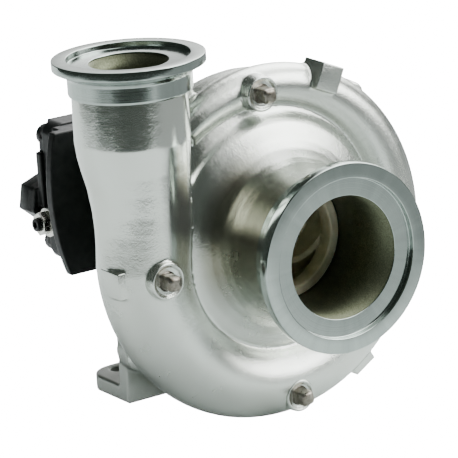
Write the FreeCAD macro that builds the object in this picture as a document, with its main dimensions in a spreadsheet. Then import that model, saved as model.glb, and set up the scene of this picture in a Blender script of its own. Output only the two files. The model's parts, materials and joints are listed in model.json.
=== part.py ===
import FreeCAD, Part
import math
import os
import re

import Sketcher

# Centrifugal pump, close-coupled to a gerotor motor, in millimetres and degrees.
# Every piece is drawn in the pump frame: Y runs along the shaft from the suction face
# to the motor, X is to the right seen from the suction side, and Z is up from the shaft.
# Each piece is then seated in the part's frame, whose origin is the middle of the two
# base slots in the base plane.

SIZES = {
    # Where the pump stands
    "shaft_height": 89.5,
    "foot_reach": 138.0,
    # Suction flange and front of the casing
    "suction_rim_r": 54.3,
    "suction_rim_thick": 6.5,
    "suction_recess_r": 45.5,
    "suction_recess": 3.3,
    "suction_bore_r": 35.1,
    "suction_neck_r": 46.5,
    "suction_neck_end": 22.0,
    "cast_neck_r": 43.6,
    "cover_edge_r": 68.3,
    "cover_edge_at": 69.0,
    "cover_step": 4.5,
    "flange_taper": 8.0,
    # Joint between the casing and the adapter
    "joint_at": 97.0,
    "joint_r": 93.5,
    "casing_lip": 9.0,
    "spigot_r": 80.0,
    "spigot_deep": 5.0,
    "spigot_clearance": 0.1,
    "casing_ring_wire": 1.15,
    # Spiral volute
    "spiral_first_angle": 128.0,
    "spiral_turn": 308.0,
    "spiral_first_r": 95.5,
    "spiral_last_r": 113.0,
    "tube_first_r": 9.5,
    "tube_last_r": 26.5,
    "tube_first_at": 80.0,
    "tube_last_at": 75.0,
    "channel_first_r": 5.0,
    "channel_last_r": 17.0,
    "outlet_slot": 8.5,
    # Discharge pipe and flange
    "pipe_lean": 3.0,
    "pipe_at": 79.0,
    "pipe_top_r": 32.7,
    "pipe_top_z": 97.0,
    "discharge_face_z": 118.9,
    "discharge_rim_r": 42.9,
    "discharge_rim_thick": 5.2,
    "discharge_neck_r": 34.4,
    "discharge_taper": 6.0,
    "discharge_recess_r": 34.5,
    "discharge_recess": 3.4,
    "discharge_bore_r": 22.3,
    # Casing bolts
    "bolt_outset": 2.5,
    "bolt_r": 3.0,
    "bolt_ear_r": 9.0,
    "bolt_hole_r": 3.4,
    "foot_pad_r": 13.5,
    "bolt_reach": 18.0,
    "tap_deep": 7.5,
    "bolt_head_flat": 10.0,
    "bolt_head_thick": 4.0,
    "washer_r": 6.2,
    "washer_thick": 1.6,
    # Chucking lugs and plug bosses
    "lug_wide": 15.6,
    "lug_tall": 14.0,
    "lug_deep": 15.0,
    "plug_r": 6.2,
    "plug_grip": 8.0,
    "plug_square": 8.4,
    "plug_head": 8.0,
    "thread_clearance": 0.05,
    # Impeller
    "impeller_r": 66.0,
    "eye_ring_r": 35.2,
    "eye_r": 29.5,
    "eye_at": 57.0,
    "impeller_back_at": 91.0,
    "back_plate": 3.0,
    "shroud_thick": 2.8,
    "vane_thick": 3.2,
    "vane_count": 5.0,
    "hub_r": 14.5,
    "wear_gap": 0.4,
    # Shaft
    "shaft_nose_at": 58.0,
    "shaft_nose_r": 6.0,
    "hub_front_at": 70.0,
    "shaft_hub_r": 8.0,
    "shaft_seal_r": 9.5,
    "shoulder_r": 14.5,
    "bearing_at": 168.0,
    "bearing_bore_r": 12.5,
    "bearing_outer_r": 26.0,
    "bearing_wide": 15.0,
    "ball_r": 3.97,
    "ball_count": 9.0,
    "race_gap": 0.08,
    "motor_shaft_r": 11.0,
    "shaft_end_at": 252.0,
    "fit_gap": 0.03,
    # Mechanical seal
    "seat_at": 118.0,
    "seat_deep": 8.0,
    "seat_r": 19.0,
    "seat_cup_wall": 2.0,
    "seal_head_r": 17.0,
    "seal_cavity_r": 24.0,
    "spring_wire_r": 1.1,
    "spring_turns": 3.0,
    # Adapter
    "adapter_disc_r": 91.5,
    "adapter_flange": 10.0,
    "adapter_cone_r": 58.0,
    "window_r": 10.0,
    "barrel_at": 150.0,
    "barrel_r": 33.5,
    "motor_flange_x": 36.0,
    "motor_flange_z": 43.0,
    "motor_flange_thick": 12.0,
    "motor_at": 211.0,
    "motor_screw_x": 27.0,
    "motor_screw_z": 34.0,
    "motor_screw_r": 4.0,
    # Foot
    "foot_half_wide": 86.3,
    "foot_wide": 46.0,
    "foot_long": 46.0,
    "foot_thick": 9.5,
    "foot_corner_r": 16.0,
    "web_at": 102.8,
    "web_thick": 8.5,
    "web_top": 42.0,
    "slot_x": 66.0,
    "slot_long": 18.0,
    "slot_wide": 9.0,
    "rib_thick": 7.0,
    "rib_long": 38.0,
    "rib_tall": 58.0,
    # Gerotor motor
    "motor_body_thick": 15.0,
    "motor_half_wide": 63.3,
    "motor_bow_r": 144.0,
    "motor_bow_z": 8.0,
    "motor_top": 46.0,
    "motor_bottom": 43.0,
    "housing_thick": 14.0,
    "housing_half_wide": 50.5,
    "housing_top": 47.0,
    "housing_bottom": 39.0,
    "housing_corner_r": 8.0,
    "end_cover_thick": 16.0,
    "end_cover_rim": 6.0,
    "end_cover_inset": 0.8,
    "port_block_x": 45.2,
    "port_block_top": 24.3,
    "port_block_bottom": 23.2,
    "rotor_lobes": 6.0,
    "rotor_offset": 2.6,
    "lobe_circle_r": 24.0,
    "lobe_r": 7.0,
    "mesh_gap": 0.12,
    "outer_rotor_r": 29.0,
    "side_gap": 0.05,
    "cap_screw_x": 40.0,
    "cap_screw_z": 33.0,
    "cap_screw_r": 4.0,
    "motor_ring_r": 34.0,
    "motor_ring_wire": 1.2,
    "port_x": 43.0,
    "port_z": -5.0,
    "port_flat": 25.4,
    "port_long": 8.0,
    "port_stem_r": 9.5,
    "port_bore_r": 6.5,
    "gallery_r": 3.0,
    "bypass_z": -13.5,
    "bypass_face": 54.0,
    "bypass_r": 4.0,
    "bypass_nut_flat": 12.7,
    "bypass_washer_r": 9.0,
}

DOC = FreeCAD.newDocument("centrifugal_pump")
SHEET = DOC.addObject("Spreadsheet::Sheet", "Sizes")
for row, (alias, amount) in enumerate(SIZES.items(), start=1):
    SHEET.set(f"A{row}", alias.replace("_", " "))
    SHEET.set(f"B{row}", str(amount))
    SHEET.setAlias(f"B{row}", alias)
DOC.recompute()

ALIASES = re.compile(r"\b(" + "|".join(SIZES) + r")\b")
ALONG = {
    "+x": ((0, 1, 0), 90),
    "-x": ((0, 1, 0), -90),
    "+y": ((1, 0, 0), -90),
    "-y": ((1, 0, 0), 90),
    "+z": ((0, 0, 1), 0),
}
NODES = []


def linked(text):
    """An expression with each size's name pointing into the sheet."""
    return ALIASES.sub(r"Sizes.\1", str(text))


def number(text):
    """What an expression of sizes comes to."""
    found = SHEET.evalExpression(linked(text))
    return float(getattr(found, "Value", found))


def bind(thing, **sizes):
    """Tie properties of an object to the sheet."""
    for name, text in sizes.items():
        thing.setExpression(name, linked(text))
    return thing


def place(thing, at, along="+z"):
    """Stand an object at a point, with its own Z axis along the given direction."""
    axis, angle = ALONG[along]
    turn = FreeCAD.Rotation(FreeCAD.Vector(*axis), angle)
    thing.Placement = FreeCAD.Placement(FreeCAD.Vector(), turn)
    for letter, text in zip("xyz", at):
        thing.setExpression(f"Placement.Base.{letter}", linked(text))
    return thing


def cylinder(name, radius, length, at, along="+y"):
    rod = DOC.addObject("Part::Cylinder", name)
    bind(rod, Radius=radius, Height=length)
    return place(rod, at, along)


def cone(name, first_r, last_r, length, at, along="+y"):
    taper = DOC.addObject("Part::Cone", name)
    bind(taper, Radius1=first_r, Radius2=last_r, Height=length)
    return place(taper, at, along)


def prism(name, corner_r, length, at, along="+y", corners=6):
    bar = DOC.addObject("Part::Prism", name)
    bar.Polygon = corners
    bind(bar, Circumradius=corner_r, Height=length)
    return place(bar, at, along)


def spun(thing, angle):
    """Turn an object about its own axis."""
    turn = FreeCAD.Rotation(FreeCAD.Vector(0, 0, 1), angle)
    thing.Placement = FreeCAD.Placement(thing.Placement.Base, thing.Placement.Rotation * turn)
    return thing


def box(name, low, size):
    block = DOC.addObject("Part::Box", name)
    bind(block, Length=size[0], Width=size[1], Height=size[2])
    return place(block, low)


def ring(name, centre_r, wire_r, at, along="+y"):
    torus = DOC.addObject("Part::Torus", name)
    bind(torus, Radius1=centre_r, Radius2=wire_r)
    return place(torus, at, along)


def fuse(name, pieces):
    whole = DOC.addObject("Part::MultiFuse", name)
    whole.Shapes = pieces
    return whole


def common(name, pieces):
    shared = DOC.addObject("Part::MultiCommon", name)
    shared.Shapes = pieces
    return shared


def cut(name, base, tools):
    """Take tools out of a base; several tools are joined first."""
    rest = DOC.addObject("Part::Cut", name)
    rest.Base = base
    rest.Tool = tools[0] if len(tools) == 1 else fuse(name + "_tools", tools)
    return rest


def group(name, pieces):
    """Separate solids of one kind, kept together as one sub-part."""
    whole = DOC.addObject("Part::Compound", name)
    whole.Links = pieces
    return whole


def outline(body, plane_role, points, name):
    """A closed sketch in a body's own plane, each corner tied to the sheet."""
    sketch = body.newObject("Sketcher::SketchObject", name)
    plane = [f for f in body.Origin.OriginFeatures if f.Role == plane_role][0]
    sketch.AttachmentSupport = [(plane, "")]
    sketch.MapMode = "FlatFace"
    corners = [FreeCAD.Vector(number(across), number(along), 0) for across, along in points]
    count = len(corners)
    for i in range(count):
        sketch.addGeometry(Part.LineSegment(corners[i], corners[(i + 1) % count]))
    for i in range(count):
        sketch.addConstraint(Sketcher.Constraint("Coincident", i, 2, (i + 1) % count, 1))
    for i, pair in enumerate(points):
        for kind, text in zip(("DistanceX", "DistanceY"), pair):
            tie = Sketcher.Constraint(kind, -1, 1, i, 1, number(text))
            place_in_list = sketch.addConstraint(tie)
            sketch.setExpression(f"Constraints[{place_in_list}]", linked(text))
    return sketch


def turned(name, profile):
    """A body turned about the shaft axis from (radius, station) corners."""
    body = DOC.addObject("PartDesign::Body", name)
    sketch = outline(body, "XY_Plane", profile, name + "_profile")
    turn = body.newObject("PartDesign::Revolution", name + "_turn")
    turn.Profile = sketch
    turn.ReferenceAxis = (sketch, ["V_Axis"])
    turn.Angle = 360
    return body


def sleeve(name, inner_r, outer_r, first, last):
    """A plain turned ring between two stations."""
    return turned(name, [(inner_r, first), (outer_r, first), (outer_r, last), (inner_r, last)])


def drawn(name, shape):
    """A piece whose form needs curves that the sheet's objects can't hold."""
    piece = DOC.addObject("Part::Feature", name)
    piece.Shape = Part.makeCompound([shape])
    return piece


def node(label, piece):
    """Name a finished sub-part and seat it in the part's frame."""
    piece.Label = label
    piece.Placement = FreeCAD.Placement()
    piece.setExpression("Placement.Base.y", linked("-foot_reach"))
    piece.setExpression("Placement.Base.z", linked("shaft_height"))
    NODES.append(piece)
    return piece


# Places that several pieces share

PIPE_X = "(-spiral_last_r + tube_last_r + pipe_lean)"
BOLTS = {
    "outlet": (118.0, "joint_r + bolt_outset"),
    "upper": (43.0, "joint_r + bolt_outset"),
    "side": (-3.0, "joint_r + bolt_outset + 5.5"),
    "right_foot": (-37.0, "joint_r + bolt_outset + 2"),
    "left_foot": (-143.0, "joint_r + bolt_outset + 4"),
}
FOOT_PADS = {"left": -143.0, "right": -37.0}
LUGS = {
    "upper": (65.7, "spiral_first_r + 6.3", 62.0),
    "side": (182.5, "spiral_last_r - 0.6", 60.0),
    "lower": (-58.7, "(spiral_first_r + spiral_last_r) / 2 + 3.55", 67.0),
}
PLUGS = {
    "vent_plug": ("-7", "spiral_first_r - 10.7", 62.6, 10.0),
    "gauge_plug": ("-spiral_last_r + 24.3", "-3.3", 45.5, 10.4),
    "drain_plug": ("0.2", "-(spiral_first_r + spiral_last_r) / 2 + 10.65", 54.3, 9.2),
}
SPIRAL_STEPS = 10


def on_axis(station):
    return ("0", station, "0")


def bolt_spots():
    """Centre of each casing bolt, as (name, x, z) expressions."""
    for name, (angle, reach) in BOLTS.items():
        yield name, f"({reach}) * cos({angle})", f"({reach}) * sin({angle})"


def radial_block(name, angle, inner, reach, wide, station, deep):
    """A block across the shaft, pointing outward at an angle between two radii."""
    block = DOC.addObject("Part::Box", name)
    bind(block, Length=f"{reach} - ({inner})", Width=deep, Height=wide)
    block.Placement = FreeCAD.Placement(
        FreeCAD.Vector(), FreeCAD.Rotation(FreeCAD.Vector(0, 1, 0), -angle)
    )
    half = f"({wide}) / 2"
    block.setExpression("Placement.Base.x", linked(f"({inner}) * cos({angle}) + {half} * sin({angle})"))
    block.setExpression("Placement.Base.y", linked(f"{station}"))
    block.setExpression("Placement.Base.z", linked(f"({inner}) * sin({angle}) - {half} * cos({angle})"))
    return block


def ears(prefix, station, deep):
    """The bolts' round ears, each tied to the disc behind it by a short block."""
    pieces = []
    for name, across, up in bolt_spots():
        angle, reach = BOLTS[name]
        pieces.append(cylinder(f"{prefix}_ear_{name}", "bolt_ear_r", deep, (across, station, up)))
        pieces.append(radial_block(f"{prefix}_ear_root_{name}", angle, "spigot_r + 5", reach,
                                   "2 * bolt_ear_r - 2", station, deep))
    return pieces


def foot_pads(prefix, extra, deep):
    """Round pads behind the joint over each foot, where the lower bolts stand."""
    pieces = []
    for side, angle in FOOT_PADS.items():
        reach = "(joint_r + 1.5)"
        spot = (f"{reach} * cos({angle})", "joint_at", f"{reach} * sin({angle})")
        pieces.append(cylinder(f"{prefix}_pad_{side}", f"foot_pad_r + {extra}", deep, spot))
    return pieces


# Volute casing


def spiral(name, first_tube, last_tube):
    """The volute's round section, growing round the casing against the clock."""
    sections = []
    for step in range(SPIRAL_STEPS + 1):
        share = step / SPIRAL_STEPS
        angle = number("spiral_first_angle") - share * number("spiral_turn")
        growth = "(spiral_last_r - tube_last_r - spiral_first_r + tube_first_r)"
        reach = f"spiral_first_r - tube_first_r + {growth} * {share}"
        swing = f"(spiral_first_angle - spiral_turn * {share})"
        section = DOC.addObject("Part::Circle", f"{name}_section_{step}")
        bind(section, Radius=f"{first_tube} + ({last_tube} - {first_tube}) * {share}")
        section.Placement = FreeCAD.Placement(
            FreeCAD.Vector(), FreeCAD.Rotation(FreeCAD.Vector(0, 1, 0), -angle)
        )
        section.setExpression("Placement.Base.x", linked(f"({reach}) * cos({swing})"))
        station = f"tube_first_at + (tube_last_at - tube_first_at) * {share}"
        section.setExpression("Placement.Base.y", linked(station))
        section.setExpression("Placement.Base.z", linked(f"({reach}) * sin({swing})"))
        sections.append(section)
    tube = DOC.addObject("Part::Loft", name)
    tube.Sections = sections
    tube.Solid = True
    return tube


def riser(name, radii):
    """The pipe that carries the flow from the volute's end up to the discharge flange."""
    sections = []
    for step, radius in enumerate(radii):
        share = step / (len(radii) - 1)
        lean = share * share
        section = DOC.addObject("Part::Circle", f"{name}_section_{step}")
        bind(section, Radius=radius)
        side = f"-spiral_last_r + tube_last_r + pipe_lean * {lean}"
        back = f"tube_last_at * (1 - {lean}) + pipe_at * {lean}"
        place(section, (side, back, f"pipe_top_z * {share}"))
        sections.append(section)
    tube = DOC.addObject("Part::Loft", name)
    tube.Sections = sections
    tube.Solid = True
    return tube


def make_casing():
    front = turned("casing_front", [
        ("0", "suction_recess"),
        ("suction_recess_r", "suction_recess"),
        ("suction_recess_r", "0"),
        ("suction_rim_r - 1", "0"),
        ("suction_rim_r", "1"),
        ("suction_rim_r", "suction_rim_thick"),
        ("suction_neck_r", "suction_rim_thick + flange_taper"),
        ("suction_neck_r", "suction_neck_end"),
        ("cast_neck_r", "suction_neck_end + 1.5"),
        ("cast_neck_r", "suction_neck_end + 16"),
        ("cast_neck_r + 1.3", "cover_edge_at - 21"),
        ("cast_neck_r + 4.6", "cover_edge_at - 12.5"),
        ("cast_neck_r + 10", "cover_edge_at - 7"),
        ("cover_edge_r - 7", "cover_edge_at - 3.4"),
        ("cover_edge_r - 1.4", "cover_edge_at - 1.4"),
        ("cover_edge_r", "cover_edge_at"),
        ("cover_edge_r", "cover_edge_at + cover_step"),
        ("cover_edge_r + 6", "cover_edge_at + cover_step + 1.5"),
        ("spigot_r + 8", "tube_first_at"),
        ("joint_r - 2", "joint_at - casing_lip - 2"),
        ("joint_r", "joint_at - casing_lip"),
        ("joint_r", "joint_at"),
        ("0", "joint_at"),
    ])
    solids = [front, spiral("volute_wall", "tube_first_r", "tube_last_r")]
    solids.append(riser("riser_wall", ["tube_last_r", "tube_last_r + 0.4", "tube_last_r + 1.8",
                                       "tube_last_r + 4", "pipe_top_r - 0.3", "pipe_top_r", "pipe_top_r"]))
    face = "discharge_face_z"
    under = f"{face} - discharge_rim_thick"
    stand = (PIPE_X, "pipe_at", "pipe_top_z")
    solids.append(cylinder("discharge_neck", "discharge_neck_r", f"{face} - pipe_top_z", stand, "+z"))
    solids.append(cone("discharge_taper_part", "discharge_neck_r", "discharge_rim_r", "discharge_taper",
                       (PIPE_X, "pipe_at", f"{under} - discharge_taper"), "+z"))
    solids.append(cylinder("discharge_rim", "discharge_rim_r", "discharge_rim_thick",
                           (PIPE_X, "pipe_at", under), "+z"))
    solids.extend(ears("casing", "joint_at - tap_deep - 4", "tap_deep + 4"))
    for name, (angle, reach, station) in LUGS.items():
        solids.append(radial_block(f"lug_{name}", angle, f"{reach} - lug_tall", reach, "lug_wide",
                                   station, "lug_deep"))
    for name, (across, up, station, boss_r) in PLUGS.items():
        solids.append(cylinder(f"{name}_boss", boss_r, f"tube_last_at - {station}", (across, station, up)))
    outside = fuse("casing_outside", solids)

    hollows = [turned("casing_chamber", [
        ("0", "-1"),
        ("suction_bore_r", "-1"),
        ("suction_bore_r", "eye_at - 2"),
        ("eye_ring_r + wear_gap", "eye_at - 1"),
        ("eye_ring_r + wear_gap", "eye_at + 9"),
        ("eye_ring_r + 5.5", "eye_at + 12.7"),
        ("impeller_r - 16", "eye_at + 16"),
        ("impeller_r + 3", "impeller_back_at - 15"),
        ("impeller_r + 3", "joint_at - spigot_deep"),
        ("spigot_r", "joint_at - spigot_deep"),
        ("spigot_r", "joint_at + 1"),
        ("0", "joint_at + 1"),
    ])]
    hollows.append(sleeve("casing_slot", "impeller_r", "spiral_first_r - tube_first_r + 1.3",
                          "impeller_back_at - back_plate - outlet_slot + 1",
                          "impeller_back_at - back_plate + 0.7"))
    hollows.append(spiral("volute_channel", "channel_first_r", "channel_last_r"))
    hollows.append(riser("riser_channel", ["channel_last_r", "channel_last_r",
                                           "channel_last_r + 1.5", "discharge_bore_r"]))
    hollows.append(cylinder("discharge_bore", "discharge_bore_r", f"{face} - pipe_top_z + 1", stand, "+z"))
    hollows.append(cylinder("discharge_seat", "discharge_recess_r", "discharge_recess + 1",
                            (PIPE_X, "pipe_at", f"{face} - discharge_recess"), "+z"))
    hollows.append(cylinder("joint_relief", "joint_r + 1.5", "40", on_axis("joint_at")))
    hollows.extend(foot_pads("casing_relief", "0.6", "40"))
    for name, across, up in bolt_spots():
        hollows.append(cylinder(f"casing_relief_{name}", "bolt_ear_r + 0.6", "40", (across, "joint_at", up)))
        hollows.append(cylinder(f"casing_tap_{name}", "bolt_r + thread_clearance", "tap_deep + 1",
                                (across, "joint_at - tap_deep", up)))
    for name, (across, up, station, boss_r) in PLUGS.items():
        hollows.append(cylinder(f"{name}_tap", "plug_r + thread_clearance", "plug_grip + 6",
                                (across, f"{station} - 1", up)))
        hollows.append(cylinder(f"{name}_seat", f"{boss_r} - 1.6", "1.8", (across, f"{station} - 1", up)))
    node("volute_casing", cut("volute_casing", outside, hollows))


def make_plugs():
    """Square-head pipe plugs in the casing's three bosses."""
    for name, (across, up, station, boss_r) in PLUGS.items():
        thread = cylinder(f"{name}_thread", "plug_r", "plug_grip", (across, f"{station}", up))
        collar = cone(f"{name}_collar", "plug_square / 2", "plug_r", "1.5", (across, f"{station} - 1.5", up))
        square = prism(f"{name}_square", "plug_square * 0.7071", "plug_head",
                       (across, f"{station} - plug_head", up), "+y", 4)
        spun(square, 45)
        node(name, fuse(name, [thread, collar, square]))


def make_casing_fasteners():
    bolts = []
    washers = []
    seat = "joint_at + adapter_flange"
    for name, across, up in bolt_spots():
        shank = cylinder(f"casing_shank_{name}", "bolt_r", "bolt_reach",
                         (across, f"{seat} + washer_thick - bolt_reach", up))
        head = prism(f"casing_head_{name}", "bolt_head_flat / 1.7321", "bolt_head_thick",
                     (across, f"{seat} + washer_thick", up))
        bolts.append(fuse(f"casing_bolt_{name}", [shank, head]))
        disc = cylinder(f"casing_washer_disc_{name}", "washer_r", "washer_thick", (across, seat, up))
        hole = cylinder(f"casing_washer_hole_{name}", "bolt_r + 0.2", "washer_thick + 2",
                        (across, f"{seat} - 1", up))
        washers.append(cut(f"casing_washer_{name}", disc, [hole]))
    node("casing_bolts", group("casing_bolts", bolts))
    node("casing_washers", group("casing_washers", washers))


# Adapter: joint flange, seal chamber, bearing barrel, motor flange and foot


def make_adapter():
    back = "joint_at + adapter_flange"
    solids = [turned("adapter_turned", [
        ("0", "joint_at - spigot_deep"),
        ("spigot_r - spigot_clearance", "joint_at - spigot_deep"),
        ("spigot_r - spigot_clearance", "joint_at"),
        ("adapter_disc_r", "joint_at"),
        ("adapter_disc_r", f"{back} - 1"),
        ("adapter_disc_r - 1", back),
        ("adapter_cone_r + 4", back),
        ("adapter_cone_r", f"{back} + 5"),
        ("barrel_r + 4", "barrel_at - 4"),
        ("barrel_r", "barrel_at + 2"),
        ("barrel_r", "motor_at"),
        ("0", "motor_at"),
    ])]
    solids.extend(ears("adapter", "joint_at", "adapter_flange"))
    solids.extend(foot_pads("adapter", "0", "adapter_flange"))
    solids.append(box("motor_flange", ("-motor_flange_x", "motor_at - motor_flange_thick", "-motor_flange_z"),
                      ("2 * motor_flange_x", "motor_flange_thick", "2 * motor_flange_z")))
    solids.append(box("foot_web", ("-foot_half_wide", "web_at", "-shaft_height"),
                      ("2 * foot_half_wide", "web_thick", "shaft_height - web_top")))
    for side, sign in (("left", -1), ("right", 1)):
        solids.extend(foot(side, sign))

    hollows = [turned("adapter_bore", [
        ("0", "joint_at - spigot_deep - 1"),
        ("seal_cavity_r + 34", "joint_at - spigot_deep - 1"),
        ("seal_cavity_r + 22", "joint_at + 11"),
        ("seal_cavity_r + 16", "seat_at - 3"),
        ("seal_cavity_r + 4", "seat_at"),
        ("seat_r", "seat_at"),
        ("seat_r", "seat_at + seat_deep"),
        ("shaft_seal_r + 2", "seat_at + seat_deep"),
        ("shaft_seal_r + 2", "seat_at + seat_deep + 4"),
        ("seat_r + 5", "seat_at + seat_deep + 4"),
        ("barrel_r + 4", "seat_at + seat_deep + 6"),
        ("barrel_r - 4", "barrel_at - 5"),
        ("bearing_outer_r - 2", "barrel_at + 2"),
        ("bearing_outer_r - 2", "bearing_at"),
        ("bearing_outer_r + fit_gap", "bearing_at"),
        ("bearing_outer_r + fit_gap", "bearing_at + bearing_wide + 0.2"),
        ("bearing_outer_r + 1.5", "bearing_at + bearing_wide + 0.2"),
        ("bearing_outer_r + 1.5", "bearing_at + bearing_wide + 2"),
        ("bearing_outer_r + fit_gap", "bearing_at + bearing_wide + 2"),
        ("bearing_outer_r + fit_gap", "motor_at + 1"),
        ("0", "motor_at + 1"),
    ])]
    groove_at = "joint_at - spigot_deep / 2"
    hollows.append(sleeve("spigot_groove", "spigot_r - 2.6", "spigot_r + 1",
                          f"{groove_at} - casing_ring_wire - 0.15", f"{groove_at} + casing_ring_wire + 0.15"))
    for name, across, up in bolt_spots():
        hollows.append(cylinder(f"adapter_hole_{name}", "bolt_hole_r", "adapter_flange + 2",
                                (across, "joint_at - 1", up)))
        hollows.append(cylinder(f"adapter_spot_{name}", "washer_r + 0.8", "12", (across, back, up)))
    for number_of, (across, up) in enumerate(motor_screw_spots()):
        hollows.append(cylinder(f"motor_flange_hole_{number_of}", "motor_screw_r + 0.4",
                                "motor_flange_thick + 2", (across, "motor_at - motor_flange_thick - 1", up)))
    for side, sign in (("left", -1), ("right", 1)):
        hollows.append(slot(side, sign))
        hollows.append(cylinder(f"window_{side}", "window_r", "adapter_cone_r",
                                ("0", "seat_at + seat_deep + window_r + 6", "0"), "+x" if sign > 0 else "-x"))
    node("adapter", cut("adapter", fuse("adapter_outside", solids), hollows))


def foot(side, sign):
    """One foot: a plate with a rounded rear corner and a rib up to the flange."""
    near = "web_at"
    outer = f"{sign} * foot_half_wide"
    inner = f"{sign} * (foot_half_wide - foot_wide)"
    low = outer if sign < 0 else inner
    long_part = box(f"foot_plate_{side}", (low, near, "-shaft_height"),
                    ("foot_wide", "foot_long - foot_corner_r", "foot_thick"))
    low_narrow = f"{outer} + foot_corner_r" if sign < 0 else inner
    narrow = box(f"foot_toe_{side}", (low_narrow, f"{near} + foot_long - foot_corner_r", "-shaft_height"),
                 ("foot_wide - foot_corner_r", "foot_corner_r", "foot_thick"))
    corner = cylinder(f"foot_corner_{side}", "foot_corner_r", "foot_thick",
                      (f"{sign} * (foot_half_wide - foot_corner_r)", f"{near} + foot_long - foot_corner_r",
                       "-shaft_height"), "+z")
    rib = DOC.addObject("Part::Wedge", f"foot_rib_{side}")
    bind(rib, Xmin="-rib_thick / 2", Xmax="rib_thick / 2", X2min="-rib_thick / 2", X2max="rib_thick / 2")
    bind(rib, Zmin="-rib_long", Zmax="0", Z2min="-rib_long * 0.3", Z2max="0")
    bind(rib, Ymin="0", Ymax="rib_tall")
    place(rib, (f"{sign} * (foot_half_wide - foot_wide + rib_thick / 2)", "web_at + web_thick / 2",
                "-shaft_height + foot_thick / 2"), "-y")
    return [long_part, narrow, corner, rib]


def slot(side, sign):
    """A mounting slot through one foot, long across the pump."""
    half = "(slot_long - slot_wide) / 2"
    centre = f"{sign} * slot_x"
    ends = []
    for end, way in (("outer", -1), ("inner", 1)):
        ends.append(cylinder(f"slot_{side}_{end}", "slot_wide / 2", "foot_thick + 2",
                             (f"{centre} + {way} * {half}", "foot_reach", "-shaft_height - 1"), "+z"))
    middle = box(f"slot_{side}_middle",
                 (f"{centre} - {half}", "foot_reach - slot_wide / 2", "-shaft_height - 1"),
                 (f"2 * {half}", "slot_wide", "foot_thick + 2"))
    return fuse(f"slot_{side}", ends + [middle])


def motor_screw_spots():
    for across in ("-motor_screw_x", "motor_screw_x"):
        for up in ("-motor_screw_z", "motor_screw_z"):
            yield across, up


# What turns with the shaft


def make_shaft():
    snap = "bearing_at + bearing_wide"
    shaft = turned("shaft_turned", [
        ("0", "shaft_nose_at"),
        ("shaft_nose_r - 1", "shaft_nose_at"),
        ("shaft_nose_r", "shaft_nose_at + 1"),
        ("shaft_nose_r", "hub_front_at"),
        ("shaft_hub_r", "hub_front_at"),
        ("shaft_hub_r", "impeller_back_at"),
        ("shaft_seal_r", "impeller_back_at"),
        ("shaft_seal_r", "bearing_at - 14"),
        ("shoulder_r", "bearing_at - 12"),
        ("shoulder_r", "bearing_at"),
        ("bearing_bore_r", "bearing_at"),
        ("bearing_bore_r", f"{snap} + 0.1"),
        ("bearing_bore_r - 0.9", f"{snap} + 0.1"),
        ("bearing_bore_r - 0.9", f"{snap} + 1.5"),
        ("bearing_bore_r", f"{snap} + 1.5"),
        ("bearing_bore_r", f"{snap} + 6"),
        ("motor_shaft_r", f"{snap} + 7.5"),
        ("motor_shaft_r", "shaft_end_at - 1"),
        ("motor_shaft_r - 1", "shaft_end_at"),
        ("0", "shaft_end_at"),
    ])
    key_seat = box("impeller_key_seat", ("-2.5", "hub_front_at + 2", "shaft_hub_r - 2.5"), ("5", "14", "5"))
    rotor_seat = box("rotor_key_seat", ("motor_shaft_r - 2.5", "motor_at + motor_body_thick + 2", "-2.5"),
                     ("5", "housing_thick - 4", "5"))
    node("shaft", cut("shaft", shaft, [key_seat, rotor_seat]))
    node("impeller_key", group("impeller_key", [
        box("impeller_key_bar", ("-2.47", "hub_front_at + 2.05", "shaft_hub_r - 2.45"),
            ("4.94", "13.9", "4.7"))]))
    node("rotor_key", group("rotor_key", [
        box("rotor_key_bar", ("motor_shaft_r - 2.45", "motor_at + motor_body_thick + 2.05", "-2.47"),
            ("4.7", "housing_thick - 4.1", "4.94"))]))


def make_impeller():
    """Closed impeller: front shroud with an eye ring, curved vanes, back plate and hub."""
    back_front = "impeller_back_at - back_plate"
    shroud = turned("impeller_shroud", [
        ("eye_r", "eye_at + 0.8"),
        ("eye_r + 0.8", "eye_at"),
        ("eye_ring_r - 0.6", "eye_at"),
        ("eye_ring_r", "eye_at + 0.6"),
        ("eye_ring_r", "eye_at + 10"),
        ("eye_ring_r + 5", "eye_at + 14.2"),
        ("impeller_r - 16", "eye_at + 17.5"),
        ("impeller_r", "eye_at + 20"),
        ("impeller_r", "eye_at + 20 + shroud_thick"),
        ("impeller_r - 16", "eye_at + 17.5 + shroud_thick"),
        ("eye_ring_r + 2", "eye_at + 13.5 + shroud_thick"),
        ("eye_r + 1", "eye_at + 9 + shroud_thick"),
        ("eye_r", "eye_at + 6 + shroud_thick"),
    ])
    plate = turned("impeller_plate", [
        ("shaft_hub_r + fit_gap", "hub_front_at"),
        ("hub_r", "hub_front_at"),
        ("hub_r + 0.5", "hub_front_at + 6"),
        ("hub_r + 4", "hub_front_at + 12"),
        ("hub_r + 12", f"{back_front} - 1.6"),
        ("impeller_r - 22", back_front),
        ("impeller_r", back_front),
        ("impeller_r", "impeller_back_at"),
        ("shaft_hub_r + fit_gap", "impeller_back_at"),
    ])
    passage = turned("impeller_passage", [
        ("hub_r - 1", "hub_front_at + 3"),
        ("eye_r - 8", "eye_at + 12"),
        ("eye_r + 0.6", "eye_at + 10.5"),
        ("eye_ring_r + 2", "eye_at + 15"),
        ("impeller_r - 16", "eye_at + 19"),
        ("impeller_r - 0.2", "eye_at + 21.5"),
        ("impeller_r - 0.2", f"{back_front} + 0.6"),
        ("hub_r - 1", f"{back_front} + 0.6"),
    ])
    vanes = common("impeller_vanes", [drawn("impeller_vane_plan", vane_plan()), passage])
    solid = fuse("impeller_solid", [shroud, plate, vanes])
    key_way = box("impeller_key_way", ("-2.52", "hub_front_at - 1", "0"),
                  ("5.04", "impeller_back_at - hub_front_at + 2", "shaft_hub_r + 2.4"))
    node("impeller", cut("impeller", solid, [key_way]))


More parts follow.
